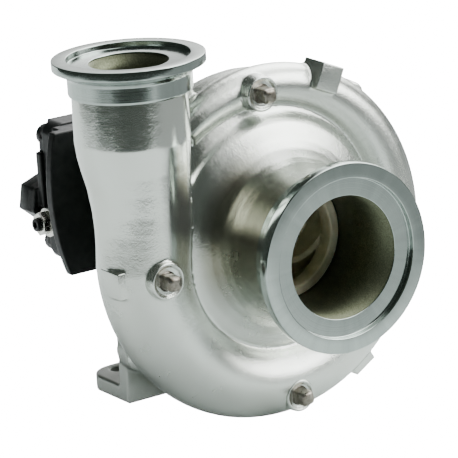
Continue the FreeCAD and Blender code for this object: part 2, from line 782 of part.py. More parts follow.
def vane_plan():
    """Backward-curved vanes as plates along the shaft, each between two log spirals."""
    inner_r = number("hub_r") + 4
    outer_r = number("impeller_r")
    half = number("vane_thick") / 2
    slope = math.tan(math.radians(27))
    first = number("eye_at") + 4
    deep = number("impeller_back_at") - first
    plates = []
    count = int(number("vane_count"))
    for blade in range(count):
        start = 2 * math.pi * blade / count
        sides = []
        for way in (-1, 1):
            points = []
            for step in range(9):
                radius = inner_r * (outer_r / inner_r) ** (step / 8)
                across = way * half / radius / math.sin(math.atan(slope))
                angle = start + math.log(radius / inner_r) / slope + across
                points.append(FreeCAD.Vector(radius * math.cos(angle), first, radius * math.sin(angle)))
            curve = Part.BSplineCurve()
            curve.interpolate(points)
            sides.append(curve)
        edges = [
            sides[0].toShape(),
            Part.LineSegment(sides[0].EndPoint, sides[1].EndPoint).toShape(),
            sides[1].toShape(),
            Part.LineSegment(sides[1].StartPoint, sides[0].StartPoint).toShape(),
        ]
        outline_wire = Part.Wire(Part.__sortEdges__(edges))
        plates.append(Part.Face(outline_wire).extrude(FreeCAD.Vector(0, deep, 0)))
    return Part.makeCompound(plates)


def make_impeller_nut():
    front = "hub_front_at - 9"
    head = prism("impeller_nut_hex", "19 / 1.7321", "8", on_axis(front))
    hole = cylinder("impeller_nut_hole", "shaft_nose_r + thread_clearance", "12", on_axis(f"{front} - 1"))
    node("impeller_nut", cut("impeller_nut", head, [hole]))
    node("impeller_washer", sleeve("impeller_washer", "shaft_nose_r + 0.1", "12",
                                   "hub_front_at - 1", "hub_front_at"))


# Mechanical seal


def make_seal():
    seat_back = "seat_at + seat_deep"
    node("seal_seat_cup", turned("seal_seat_cup", [
        ("seat_r - seat_cup_wall", "seat_at"),
        ("seat_r - fit_gap", "seat_at"),
        ("seat_r - fit_gap", seat_back),
        ("shaft_seal_r + 2.6", seat_back),
        ("shaft_seal_r + 2.6", f"{seat_back} - seat_cup_wall"),
        ("seat_r - seat_cup_wall", f"{seat_back} - seat_cup_wall"),
    ]))
    node("seal_seat", sleeve("seal_seat", "shaft_seal_r + 1.2", "seat_r - seat_cup_wall - fit_gap",
                             "seat_at - 1", f"{seat_back} - seat_cup_wall"))
    face = "seat_at - 1 - side_gap"
    node("seal_face_ring", turned("seal_face_ring", [
        ("shaft_seal_r + 0.8", f"{face} - 5"),
        ("seal_head_r - 2", f"{face} - 5"),
        ("seal_head_r - 2", f"{face} - 2"),
        ("seal_head_r - 3.2", f"{face} - 2"),
        ("seal_head_r - 3.2", face),
        ("shaft_seal_r + 0.8", face),
    ]))
    node("seal_bellows", turned("seal_bellows", [
        ("shaft_seal_r + fit_gap", f"{face} - 16"),
        ("shaft_seal_r + 2.5", f"{face} - 16"),
        ("shaft_seal_r + 2.5", f"{face} - 8"),
        ("seal_head_r - 2", f"{face} - 8"),
        ("seal_head_r - 2", f"{face} - 5"),
        ("shaft_seal_r + fit_gap", f"{face} - 5"),
    ]))
    node("seal_retainer", turned("seal_retainer", [
        ("seal_head_r - 1.9", f"{face} - 9.2"),
        ("shaft_seal_r + 2.6", f"{face} - 9.2"),
        ("shaft_seal_r + 2.6", f"{face} - 8.1"),
        ("seal_head_r - 1.9", f"{face} - 8.1"),
        ("seal_head_r - 1.9", f"{face} - 2.2"),
        ("seal_head_r - 0.9", f"{face} - 2.2"),
        ("seal_head_r - 0.9", f"{face} - 9.2"),
    ]))
    node("seal_spring", drawn("seal_spring", spring_shape()))


def spring_shape():
    """The round-wire spring that pushes the seal head away from the impeller."""
    wire_r = number("spring_wire_r")
    coil_r = number("seal_head_r") - 1.2 - wire_r
    first = number("impeller_back_at") + wire_r + 0.1
    last = number("seat_at - 1 - side_gap") - 9.2 - wire_r - 0.1
    turns = number("spring_turns")
    coil = Part.makeHelix((last - first) / turns, last - first, coil_r)
    section = Part.Wire(Part.makeCircle(wire_r, FreeCAD.Vector(coil_r, 0, 0), FreeCAD.Vector(0, 1, 0)))
    solid = Part.Wire(coil).makePipeShell([section], True, True)
    solid.rotate(FreeCAD.Vector(), FreeCAD.Vector(1, 0, 0), -90)
    solid.translate(FreeCAD.Vector(0, first, 0))
    return solid


# Bearing, retaining rings and slinger


def make_bearing():
    pitch = "(bearing_bore_r + bearing_outer_r) / 2 + 0.15"
    middle = "bearing_at + bearing_wide / 2"
    last = "bearing_at + bearing_wide"
    for name, inner, outer in (
        ("bearing_outer_ring", f"{pitch} + 2.3", "bearing_outer_r"),
        ("bearing_inner_ring", "bearing_bore_r + fit_gap", f"{pitch} - 2.3"),
    ):
        blank = sleeve(f"{name}_blank", inner, outer, "bearing_at", last)
        race = ring(f"{name}_race", pitch, "ball_r + race_gap", on_axis(middle))
        node(name, cut(name, blank, [race]))
    balls = []
    pockets = []
    count = int(number("ball_count"))
    for step in range(count):
        angle = 360 * step / count
        spot = (f"({pitch}) * cos({angle})", middle, f"({pitch}) * sin({angle})")
        ball = DOC.addObject("Part::Sphere", f"ball_{step}")
        balls.append(place(bind(ball, Radius="ball_r"), spot))
        pocket = cylinder(f"pocket_{step}", "ball_r + race_gap", "bearing_outer_r", on_axis(middle), "+z")
        pocket.Placement.Rotation = FreeCAD.Rotation(FreeCAD.Vector(0, 1, 0), 90 - angle)
        pockets.append(pocket)
    node("bearing_balls", group("bearing_balls", balls))
    band = sleeve("bearing_cage_band", f"{pitch} - 1.1", f"{pitch} + 1.1",
                  f"{middle} - 5.2", f"{middle} + 5.2")
    node("bearing_cage", cut("bearing_cage", band, pockets))
    node("slinger_ring", turned("slinger_ring", [
        ("shaft_seal_r + fit_gap", "seat_at + seat_deep + 10"),
        ("bearing_outer_r - 6", "seat_at + seat_deep + 12"),
        ("bearing_outer_r - 6", "seat_at + seat_deep + 14"),
        ("shaft_seal_r + 3", "seat_at + seat_deep + 15"),
        ("shaft_seal_r + 3", "seat_at + seat_deep + 18"),
        ("shaft_seal_r + fit_gap", "seat_at + seat_deep + 18"),
    ]))
    make_retaining_ring("housing_snap_ring", "bearing_outer_r - 2.5", "bearing_outer_r + 1.3",
                        f"{last} + 0.3", -1)
    make_retaining_ring("shaft_snap_ring", "bearing_bore_r - 0.8", "bearing_bore_r + 2.2",
                        f"{last} + 0.15", 1)


def make_retaining_ring(label, inner, outer, station, way):
    """A flat open ring; its gap faces down in the housing and up on the shaft."""
    flat = sleeve(f"{label}_flat", inner, outer, station, f"{station} + 1.3")
    low = "0" if way > 0 else f"-({outer}) - 1"
    gap = box(f"{label}_gap", ("-3", f"{station} - 1", low), ("6", "4", f"{outer} + 1"))
    node(label, cut(label, flat, [gap]))


def make_casing_ring():
    at = on_axis("joint_at - spigot_deep / 2")
    node("casing_o_ring", group("casing_o_ring", [
        ring("casing_o_ring_torus", "spigot_r - spigot_clearance - casing_ring_wire - 0.05",
             "casing_ring_wire", at)]))


# Gerotor motor

ROTOR_FROM = "motor_at + motor_body_thick"
HOUSING_END = "motor_at + motor_body_thick + housing_thick"
PORT_TURN = 40


def rounded_plate(name, half_wide, top, bottom, corner, first, thick):
    """A plate across the shaft with four round corners, as two bars and four corner rounds."""
    tall = f"{top} + {bottom}"
    pieces = [
        box(f"{name}_wide", (f"-({half_wide})", first, f"-({bottom}) + {corner}"),
            (f"2 * ({half_wide})", thick, f"{tall} - 2 * {corner}")),
        box(f"{name}_tall", (f"-({half_wide}) + {corner}", first, f"-({bottom})"),
            (f"2 * ({half_wide}) - 2 * {corner}", thick, tall)),
    ]
    for side in (-1, 1):
        for level, up in (("low", f"-({bottom}) + {corner}"), ("high", f"{top} - {corner}")):
            pieces.append(cylinder(f"{name}_corner_{level}_{side + 1}", corner, thick,
                                   (f"{side} * ({half_wide} - {corner})", first, up)))
    return fuse(name, pieces)


def cap_screw_spots():
    for across in ("-cap_screw_x", "cap_screw_x"):
        for up in ("-cap_screw_z + 2", "cap_screw_z + 2"):
            yield across, up


def make_motor_body():
    first = "motor_at"
    plate = rounded_plate("motor_plate", "motor_half_wide", "motor_top", "motor_bottom", "7",
                          first, "motor_body_thick")
    bows = []
    for side in (-1, 1):
        bows.append(cylinder(f"motor_bow_{side + 1}", "motor_bow_r", "motor_body_thick",
                             (f"{side} * (motor_half_wide - motor_bow_r)", first, "motor_bow_z")))
    solid = common("motor_plate_bowed", [plate] + bows)
    pilot = cylinder("motor_pilot", "bearing_outer_r - 0.5", "4", on_axis("motor_at - 4"))
    hollows = [turned("motor_body_bore", [
        ("0", "motor_at - 5"),
        ("motor_shaft_r + 8", "motor_at - 5"),
        ("motor_shaft_r + 8", "motor_at + 4"),
        ("motor_shaft_r + 3 + fit_gap", "motor_at + 4"),
        ("motor_shaft_r + 3 + fit_gap", f"{ROTOR_FROM} + 1"),
        ("0", f"{ROTOR_FROM} + 1"),
    ])]
    hollows.append(sleeve("motor_body_groove", "motor_ring_r - motor_ring_wire - 0.2",
                          "motor_ring_r + motor_ring_wire + 0.2",
                          f"{ROTOR_FROM} - 2 * motor_ring_wire - 0.04", f"{ROTOR_FROM} + 1"))
    for step, (across, up) in enumerate(motor_screw_spots()):
        hollows.append(cylinder(f"motor_tap_{step}", "motor_screw_r + thread_clearance", "12.5",
                                (across, "motor_at - 1", up)))
    for step, (across, up) in enumerate(cap_screw_spots()):
        hollows.append(cylinder(f"motor_cap_tap_{step}", "cap_screw_r + thread_clearance", "11",
                                (across, f"{ROTOR_FROM} - 10", up)))
    hollows.append(bypass_spot("body_bypass_spot"))
    node("motor_body", cut("motor_body", fuse("motor_body_solid", [solid, pilot]), hollows))
    node("motor_shaft_seal", sleeve("motor_shaft_seal", "motor_shaft_r + 0.05", "motor_shaft_r + 8 - fit_gap",
                                    "motor_at - 3", "motor_at + 4"))
    node("motor_front_bush", sleeve("motor_front_bush", "motor_shaft_r + fit_gap", "motor_shaft_r + 3",
                                    "motor_at + 4", ROTOR_FROM))


def make_gerotor_housing():
    plate = rounded_plate("housing_plate", "housing_half_wide", "housing_top", "housing_bottom",
                          "housing_corner_r", ROTOR_FROM, "housing_thick")
    seat = cylinder("bypass_seat", "housing_thick / 2", "bypass_face - housing_half_wide + 1",
                    ("-bypass_face", f"{ROTOR_FROM} + housing_thick / 2", "bypass_z"), "+x")
    solid = fuse("housing_solid", [plate, seat])
    hollows = [cylinder("housing_bore", "outer_rotor_r + 0.06", "housing_thick + 2",
                        ("rotor_offset", f"{ROTOR_FROM} - 1", "0"))]
    for step, (across, up) in enumerate(cap_screw_spots()):
        hollows.append(cylinder(f"housing_hole_{step}", "cap_screw_r + 0.4", "housing_thick + 2",
                                (across, f"{ROTOR_FROM} - 1", up)))
    hollows.append(cylinder("bypass_tap", "bypass_r + fit_gap", "17",
                            ("-bypass_face - 1", f"{ROTOR_FROM} + housing_thick / 2", "bypass_z"), "+x"))
    node("gerotor_housing", cut("gerotor_housing", solid, hollows))


def lobe_curve(roller):
    """The inner rotor's outline: the outer rotor's round lobe rolled round inside it."""
    offset = number("rotor_offset")
    circle = number("lobe_circle_r")
    lobes = int(number("rotor_lobes"))
    points = []
    count = 12 * lobes
    for step in range(count):
        turn = 2 * math.pi * step / count
        across = circle * math.cos(turn) + offset * math.cos((lobes + 1) * turn)
        up = circle * math.sin(turn) + offset * math.sin((lobes + 1) * turn)
        run = -circle * math.sin(turn) - (lobes + 1) * offset * math.sin((lobes + 1) * turn)
        rise = circle * math.cos(turn) + (lobes + 1) * offset * math.cos((lobes + 1) * turn)
        length = math.hypot(run, rise)
        points.append(FreeCAD.Vector(across - roller * rise / length, 0, up + roller * run / length))
    curve = Part.BSplineCurve()
    curve.interpolate(Points=points, PeriodicFlag=True)
    return curve


def make_gerotor():
    """Inner and outer rotor of the motor, one lobe apart and in mesh."""
    first = number(ROTOR_FROM) + number("side_gap")
    deep = number("housing_thick") - 2 * number("side_gap")
    roller = number("lobe_r") + number("mesh_gap")
    edge = lobe_curve(roller).toShape()
    edge.translate(FreeCAD.Vector(0, first, 0))
    blank = drawn("gerotor_inner_blank", Part.Face(Part.Wire(edge)).extrude(FreeCAD.Vector(0, deep, 0)))
    bore = cylinder("gerotor_inner_bore", "motor_shaft_r + fit_gap", "housing_thick + 2",
                    on_axis(f"{ROTOR_FROM} - 1"))
    key_way = box("gerotor_key_way", ("0", f"{ROTOR_FROM} - 1", "-2.52"),
                  ("motor_shaft_r + 2.4", "housing_thick + 2", "5.04"))
    node("gerotor_inner", cut("gerotor_inner", blank, [bore, key_way]))

    lobes = int(number("rotor_lobes")) + 1
    centre = ("rotor_offset", f"{ROTOR_FROM} + side_gap", "0")
    long_tool = ("rotor_offset", f"{ROTOR_FROM} - 1", "0")
    disc = cylinder("gerotor_outer_disc", "outer_rotor_r", "housing_thick - 2 * side_gap", centre)
    cave = cylinder("gerotor_outer_cave", "lobe_circle_r - lobe_r + 2 * rotor_offset + mesh_gap",
                    "housing_thick + 2", long_tool)
    shell = cut("gerotor_outer_shell", disc, [cave])
    rollers = []
    for step in range(lobes):
        angle = 360 * step / lobes
        spot = (f"rotor_offset + lobe_circle_r * cos({angle})", f"{ROTOR_FROM} + side_gap",
                f"lobe_circle_r * sin({angle})")
        rollers.append(cylinder(f"gerotor_lobe_{step}", "lobe_r", "housing_thick - 2 * side_gap", spot))
    fence = cylinder("gerotor_outer_fence", "outer_rotor_r", "housing_thick - 2 * side_gap", centre)
    whole = fuse("gerotor_outer_whole", [shell] + rollers)
    node("gerotor_outer", common("gerotor_outer", [whole, fence]))


def bypass_spot(name):
    """The room spot-faced round the bypass screw's seal washer."""
    return cylinder(name, "bypass_washer_r + 0.6", "20",
                    ("-bypass_face - 20", f"{ROTOR_FROM} + housing_thick / 2", "bypass_z"), "+x")


def make_end_cover():
    first = HOUSING_END
    solid = rounded_plate("cover_plate", "housing_half_wide - end_cover_inset",
                          "housing_top - end_cover_inset",
                          "housing_bottom - end_cover_inset", "housing_corner_r - end_cover_inset",
                          first, "end_cover_rim")
    bosses = [
        rounded_plate("cover_block", "port_block_x", "port_block_top", "port_block_bottom", "4",
                      first, "end_cover_thick"),
        cylinder("cover_hub", "motor_shaft_r + 8", "end_cover_thick + 5", on_axis(first)),
    ]
    hollows = [turned("cover_bore", [
        ("0", f"{first} - 1"),
        ("motor_shaft_r + 3 + fit_gap", f"{first} - 1"),
        ("motor_shaft_r + 3 + fit_gap", f"{first} + 12"),
        ("motor_shaft_r - 2", f"{first} + 13"),
        ("0", f"{first} + 13"),
    ])]
    hollows.append(sleeve("cover_groove", "motor_ring_r - motor_ring_wire - 0.2",
                          "motor_ring_r + motor_ring_wire + 0.2",
                          f"{first} - 1", f"{first} + 2 * motor_ring_wire + 0.04"))
    for step, (across, up) in enumerate(cap_screw_spots()):
        hollows.append(cylinder(f"cover_hole_{step}", "cap_screw_r + 0.4", "end_cover_thick + 2",
                                (across, f"{first} - 1", up)))
    for side, way in ((-1, "+x"), (1, "-x")):
        across = f"{side} * port_x"
        boss = prism(f"cover_boss_{side + 1}", "port_flat / 1.7321", "end_cover_thick - end_cover_rim",
                     (across, f"{first} + end_cover_rim", "port_z"))
        bosses.append(spun(boss, PORT_TURN))
        hollows.append(cylinder(f"cover_port_{side + 1}", "port_stem_r + thread_clearance", "10",
                                (across, f"{first} + end_cover_thick - 9", "port_z")))
        hollows.append(cylinder(f"cover_gallery_{side + 1}", "gallery_r", "port_x - 19",
                                (across, f"{first} + end_cover_thick - 7", "port_z"), way))
    lobes = "lobe_circle_r - lobe_r"
    hollows.append(cut("cover_kidneys", sleeve("cover_kidney_ring", f"{lobes} + 0.5", f"{lobes} + 5.5",
                                               f"{first} - 1", f"{first} + end_cover_thick - 6"),
                       [box("cover_kidney_gap", ("-9", f"{first} - 2", "-30"), ("18", "20", "60"))]))
    node("motor_end_cover", cut("motor_end_cover", fuse("cover_solid", [solid] + bosses), hollows))
    node("motor_rear_bush", sleeve("motor_rear_bush", "motor_shaft_r + fit_gap", "motor_shaft_r + 3",
                                   f"{first} + 0.5", f"{first} + 12"))


def make_motor_rings():
    front = f"{ROTOR_FROM} - motor_ring_wire - 0.02"
    rear = f"{HOUSING_END} + motor_ring_wire + 0.02"
    for name, station in (("front", front), ("rear", rear)):
        node(f"motor_o_ring_{name}", group(f"motor_o_ring_{name}", [
            ring(f"motor_o_ring_{name}_torus", "motor_ring_r", "motor_ring_wire", on_axis(station))]))


def make_motor_screws():
    seat = f"{HOUSING_END} + end_cover_rim"
    reach = "housing_thick + end_cover_rim + 9"
    screws = []
    for step, (across, up) in enumerate(cap_screw_spots()):
        shank = cylinder(f"cap_screw_shank_{step}", "cap_screw_r", reach, (across, f"{seat} - ({reach})", up))
        head = cylinder(f"cap_screw_head_{step}", "cap_screw_r * 1.62", "8", (across, seat, up))
        socket = prism(f"cap_screw_socket_{step}", "3.6", "5", (across, f"{seat} + 4", up))
        screws.append(cut(f"cap_screw_{step}", fuse(f"cap_screw_solid_{step}", [shank, head]), [socket]))
    node("motor_cap_screws", group("motor_cap_screws", screws))
    front = "motor_at - motor_flange_thick"
    mounts = []
    for step, (across, up) in enumerate(motor_screw_spots()):
        shank = cylinder(f"mount_screw_shank_{step}", "motor_screw_r", "motor_flange_thick + 10",
                         (across, front, up))
        head = cylinder(f"mount_screw_head_{step}", "motor_screw_r * 1.62", "8", (across, f"{front} - 8", up))
        socket = prism(f"mount_screw_socket_{step}", "3.6", "5", (across, f"{front} - 9", up))
        mounts.append(cut(f"mount_screw_{step}", fuse(f"mount_screw_solid_{step}", [shank, head]), [socket]))
    node("motor_mount_screws", group("motor_mount_screws", mounts))


def make_ports():
    """Hex port adapters screwed into the end cover."""
    seat = f"{HOUSING_END} + end_cover_thick"
    for side, name in ((-1, "pressure_port_adapter"), (1, "tank_port_adapter")):
        across = f"{side} * port_x"
        stem = cylinder(f"{name}_stem", "port_stem_r", "8 + port_long", (across, f"{seat} - 8", "port_z"))
        hexagon = prism(f"{name}_hex", "port_flat / 1.7321", "port_long", (across, seat, "port_z"))
        spun(hexagon, PORT_TURN)
        hole = cylinder(f"{name}_hole", "port_bore_r", "port_long + 10", (across, f"{seat} - 9", "port_z"))
        node(name, cut(name, fuse(f"{name}_solid", [stem, hexagon]), [hole]))


def make_bypass():
    """Adjusting screw of the bypass valve, with its jam nut and seal washer."""
    middle = f"{ROTOR_FROM} + housing_thick / 2"
    face = "-bypass_face"
    screw = cylinder("bypass_screw_rod", "bypass_r", "26", (f"{face} - 10", middle, "bypass_z"), "+x")
    socket = prism("bypass_screw_socket", "2.3", "5", (f"{face} - 11", middle, "bypass_z"), "+x")
    node("bypass_screw", cut("bypass_screw", screw, [socket]))
    washer = cylinder("bypass_washer_disc", "bypass_washer_r", "1.5",
                      (face + " - 1.5", middle, "bypass_z"), "+x")
    washer_hole = cylinder("bypass_washer_hole", "bypass_r + 0.1", "4",
                           (face + " - 3", middle, "bypass_z"), "+x")
    node("bypass_washer", cut("bypass_washer", washer, [washer_hole]))
    nut = prism("bypass_nut_hex", "bypass_nut_flat / 1.7321", "6",
                (face + " - 7.5", middle, "bypass_z"), "+x")
    nut_hole = cylinder("bypass_nut_hole", "bypass_r + fit_gap", "10",
                        (face + " - 9", middle, "bypass_z"), "+x")
    node("bypass_jam_nut", cut("bypass_jam_nut", nut, [nut_hole]))


def check_document():
    """Stop if any object failed or any sub-part has no valid shape."""
    for thing in DOC.Objects:
        if "Invalid" in thing.State or "Error" in thing.State:
            raise RuntimeError(f"{thing.Name} failed: {thing.State}")
    for piece in NODES:
        if piece.Shape.isNull() or not piece.Shape.isValid():
            raise RuntimeError(f"{piece.Label} has no valid shape")


make_casing()
make_plugs()
make_casing_fasteners()
make_casing_ring()
make_adapter()
make_shaft()
make_impeller()
make_impeller_nut()
make_seal()
make_bearing()
make_motor_body()
make_gerotor_housing()
make_gerotor()
make_end_cover()
make_motor_rings()
make_motor_screws()
make_ports()
make_bypass()
DOC.recompute()
check_document()

os.makedirs("parts", exist_ok=True)
for piece in NODES:
    piece.Shape.exportStep(f"parts/{piece.Label}.step")
    box_of = piece.Shape.BoundBox
    print(f"{piece.Label}: {len(piece.Shape.Solids)} solids, {piece.Shape.Volume / 1000:.2f} cm3, "
          f"z {box_of.ZMin:.1f} to {box_of.ZMax:.1f}")
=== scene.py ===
import json
import math

import bmesh
import bpy
from mathutils import Matrix, Vector


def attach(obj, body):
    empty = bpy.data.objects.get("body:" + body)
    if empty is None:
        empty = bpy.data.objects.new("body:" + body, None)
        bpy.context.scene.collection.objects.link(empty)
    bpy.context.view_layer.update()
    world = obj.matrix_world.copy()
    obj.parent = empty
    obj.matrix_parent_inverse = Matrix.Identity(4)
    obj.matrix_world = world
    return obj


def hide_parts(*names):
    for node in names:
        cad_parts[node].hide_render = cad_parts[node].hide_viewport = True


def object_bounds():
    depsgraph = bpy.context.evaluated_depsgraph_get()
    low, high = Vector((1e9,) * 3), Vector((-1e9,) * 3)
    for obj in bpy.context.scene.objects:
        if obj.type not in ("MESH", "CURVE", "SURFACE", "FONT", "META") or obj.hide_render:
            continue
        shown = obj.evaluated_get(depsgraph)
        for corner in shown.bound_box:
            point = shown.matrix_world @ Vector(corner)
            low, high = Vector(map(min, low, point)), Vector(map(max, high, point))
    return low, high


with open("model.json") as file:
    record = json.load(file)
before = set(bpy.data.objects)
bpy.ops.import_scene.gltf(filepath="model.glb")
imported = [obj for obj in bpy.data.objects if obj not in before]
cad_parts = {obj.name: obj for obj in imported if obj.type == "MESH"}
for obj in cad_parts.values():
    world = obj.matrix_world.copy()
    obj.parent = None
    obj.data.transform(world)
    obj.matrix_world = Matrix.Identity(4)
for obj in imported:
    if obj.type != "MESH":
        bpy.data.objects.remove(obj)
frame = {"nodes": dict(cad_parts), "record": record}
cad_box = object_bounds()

# The pump stands in the part's frame: +Z up, +Y from the suction flange to the motor.
# Pump coordinates, as in the source, start at the suction face on the shaft's axis.

MM = 0.001
FOOT_REACH = 138 * MM
SHAFT_HEIGHT = 89.5 * MM
PHOTO_SIDE = 458
SENSOR = 36.0

# Camera, worked out from the ellipses of both flanges and the foot in the photograph
FOCAL_PIXELS = 3316.9
VIEW_TURN = math.radians(-32.9)
VIEW_RISE = math.radians(15.9)
VIEW_ROLL = math.radians(-3.9)
VIEW_RANGE = 1.8353
SUCTION_PIXEL = (347.3, 258.8)


def pump(x, y, z):
    """A point of the pump frame, in millimetres, as a point of the part's frame in metres."""
    return Vector((x * MM, y * MM - FOOT_REACH, z * MM + SHAFT_HEIGHT))


# Camera


def make_camera():
    back = Vector((
        math.sin(VIEW_TURN) * math.cos(VIEW_RISE),
        -math.cos(VIEW_TURN) * math.cos(VIEW_RISE),
        math.sin(VIEW_RISE),
    ))
    right = Vector((math.cos(VIEW_TURN), math.sin(VIEW_TURN), 0))
    up = back.cross(right)
    rolled_right = math.cos(VIEW_ROLL) * right + math.sin(VIEW_ROLL) * up
    rolled_up = -math.sin(VIEW_ROLL) * right + math.cos(VIEW_ROLL) * up
    half = PHOTO_SIDE / 2
    across = (SUCTION_PIXEL[0] - half) / FOCAL_PIXELS * VIEW_RANGE
    down = (SUCTION_PIXEL[1] - half) / FOCAL_PIXELS * VIEW_RANGE
    spot = pump(0, 0, 0) - across * rolled_right + down * rolled_up + VIEW_RANGE * back
    data = bpy.data.cameras.new("camera")
    data.sensor_width = SENSOR
    data.lens = FOCAL_PIXELS * SENSOR / PHOTO_SIDE
    data.clip_start = 0.05
    data.clip_end = 30
    camera = bpy.data.objects.new("camera", data)
    bpy.context.scene.collection.objects.link(camera)
    turn = Matrix((rolled_right, rolled_up, back)).transposed().to_4x4()
    camera.matrix_world = Matrix.Translation(spot) @ turn
    bpy.context.scene.camera = camera
    return camera


# Casing sizes, in millimetres of the pump frame

SPIRAL_START = 128
SPIRAL_TURN = 308
SPIRAL_FIRST_R = 95.2
SPIRAL_LAST_R = 112.8
TUBE_FIRST_R = 9.5
TUBE_LAST_R = 26.5
TUBE_FIRST_AT = 80
TUBE_LAST_AT = 75
CHANNEL_FIRST_R = 5
CHANNEL_LAST_R = 17
PIPE_X = -83.5
PIPE_AT = 79
PIPE_TOP = 97
JOINT_AT = 97
CASING_REAR_R = 93.5
EYE_DEEP = 80

# Materials

FLOOR_GLOW = 17
DIM_SIDE = (0.966, -0.259, 0)

class Nodes:
    """A short way to write a material's node tree."""

    def __init__(self, name):
        self.material = bpy.data.materials.new(name)
        self.material.use_nodes = True
        self.tree = self.material.node_tree
        self.shader = self.tree.nodes["Principled BSDF"]
        self.where = self.add("ShaderNodeTexCoord").outputs["Object"]

    def add(self, kind, **settings):
        node = self.tree.nodes.new(kind)
        for key, value in settings.items():
            setattr(node, key, value)
        return node

    def link(self, source, target):
        self.tree.links.new(source, target)

    def set(self, **values):
        for key, value in values.items():
            self.shader.inputs[key.replace("_", " ")].default_value = value

    def vector(self, operation, source, *values):
        """A vector sum of one linked vector and constants."""
        node = self.add("ShaderNodeVectorMath", operation=operation)
        self.link(source, node.inputs[0])
        for socket, value in enumerate(values, 1):
            node.inputs[socket].default_value = value
        return node

    def noise(self, scale, detail=3, roughness=0.5, distortion=0.0, where=None):
        node = self.add("ShaderNodeTexNoise")
        node.inputs["Scale"].default_value = scale
        node.inputs["Detail"].default_value = detail
        node.inputs["Roughness"].default_value = roughness
        node.inputs["Distortion"].default_value = distortion
        self.link(where or self.where, node.inputs["Vector"])
        return node.outputs["Fac"]

    def ramp(self, source, stops):
        node = self.add("ShaderNodeValToRGB")
        ramp = node.color_ramp
        while len(ramp.elements) < len(stops):
            ramp.elements.new(0.5)
        for element, (place, colour) in zip(ramp.elements, stops):
            element.position = place
            value = colour if isinstance(colour, (tuple, list)) else (colour,) * 3
            element.color = (*value, 1)
        self.link(source, node.inputs["Fac"])
        return node.outputs["Color"]

    def mix(self, factor, first, second, kind="MIX"):
        node = self.add("ShaderNodeMix", data_type="RGBA", blend_type=kind)
        for socket, value in ((0, factor), (6, first), (7, second)):
            if isinstance(value, bpy.types.NodeSocket):
                self.link(value, node.inputs[socket])
            elif socket == 0:
                node.inputs[socket].default_value = value
            else:
                node.inputs[socket].default_value = (*value, 1)
        return node.outputs[2]

    def maths(self, kind, first, second):
        node = self.add("ShaderNodeMath", operation=kind)
        for socket, value in enumerate((first, second)):
            if isinstance(value, bpy.types.NodeSocket):
                self.link(value, node.inputs[socket])
            else:
                node.inputs[socket].default_value = value
        return node.outputs[0]

    def bump(self, height, strength, distance, under=None):
        node = self.add("ShaderNodeBump")
        node.inputs["Strength"].default_value = strength
        node.inputs["Distance"].default_value = distance
        self.link(height, node.inputs["Height"])
        if under is not None:
            self.link(under, node.inputs["Normal"])
        return node.outputs["Normal"]

    def finish(self, colour=None, roughness=None, normal=None):
        for source, name in ((colour, "Base Color"), (roughness, "Roughness"), (normal, "Normal")):
            if source is not None:
                self.link(source, self.shader.inputs[name])
        return self.material


# The two axes that the casting is machined about: a point and a direction
SHAFT_LINE = (pump(0, 0, 0), (0, 1, 0))
PIPE_LINE = (pump(PIPE_X, PIPE_AT, 0), (0, 0, 1))


def from_line(n, line):
    """The arm from a line's point, the arm square to the line, and its length."""
    centre, axis = line
    arm = n.vector("SUBTRACT", n.where, centre).outputs[0]
    square = n.vector("MULTIPLY", arm, [1 - abs(c) for c in axis]).outputs[0]
    return arm, square, n.vector("LENGTH", square).outputs["Value"]


def near_line(n, line, radius, fade=0.5):
    """1 within a radius of a line, fading to 0 beyond it; in millimetres."""
    length = from_line(n, line)[2]
    return n.ramp(length, [(radius * MM, 1.0), ((radius + fade) * MM, 0.0)])


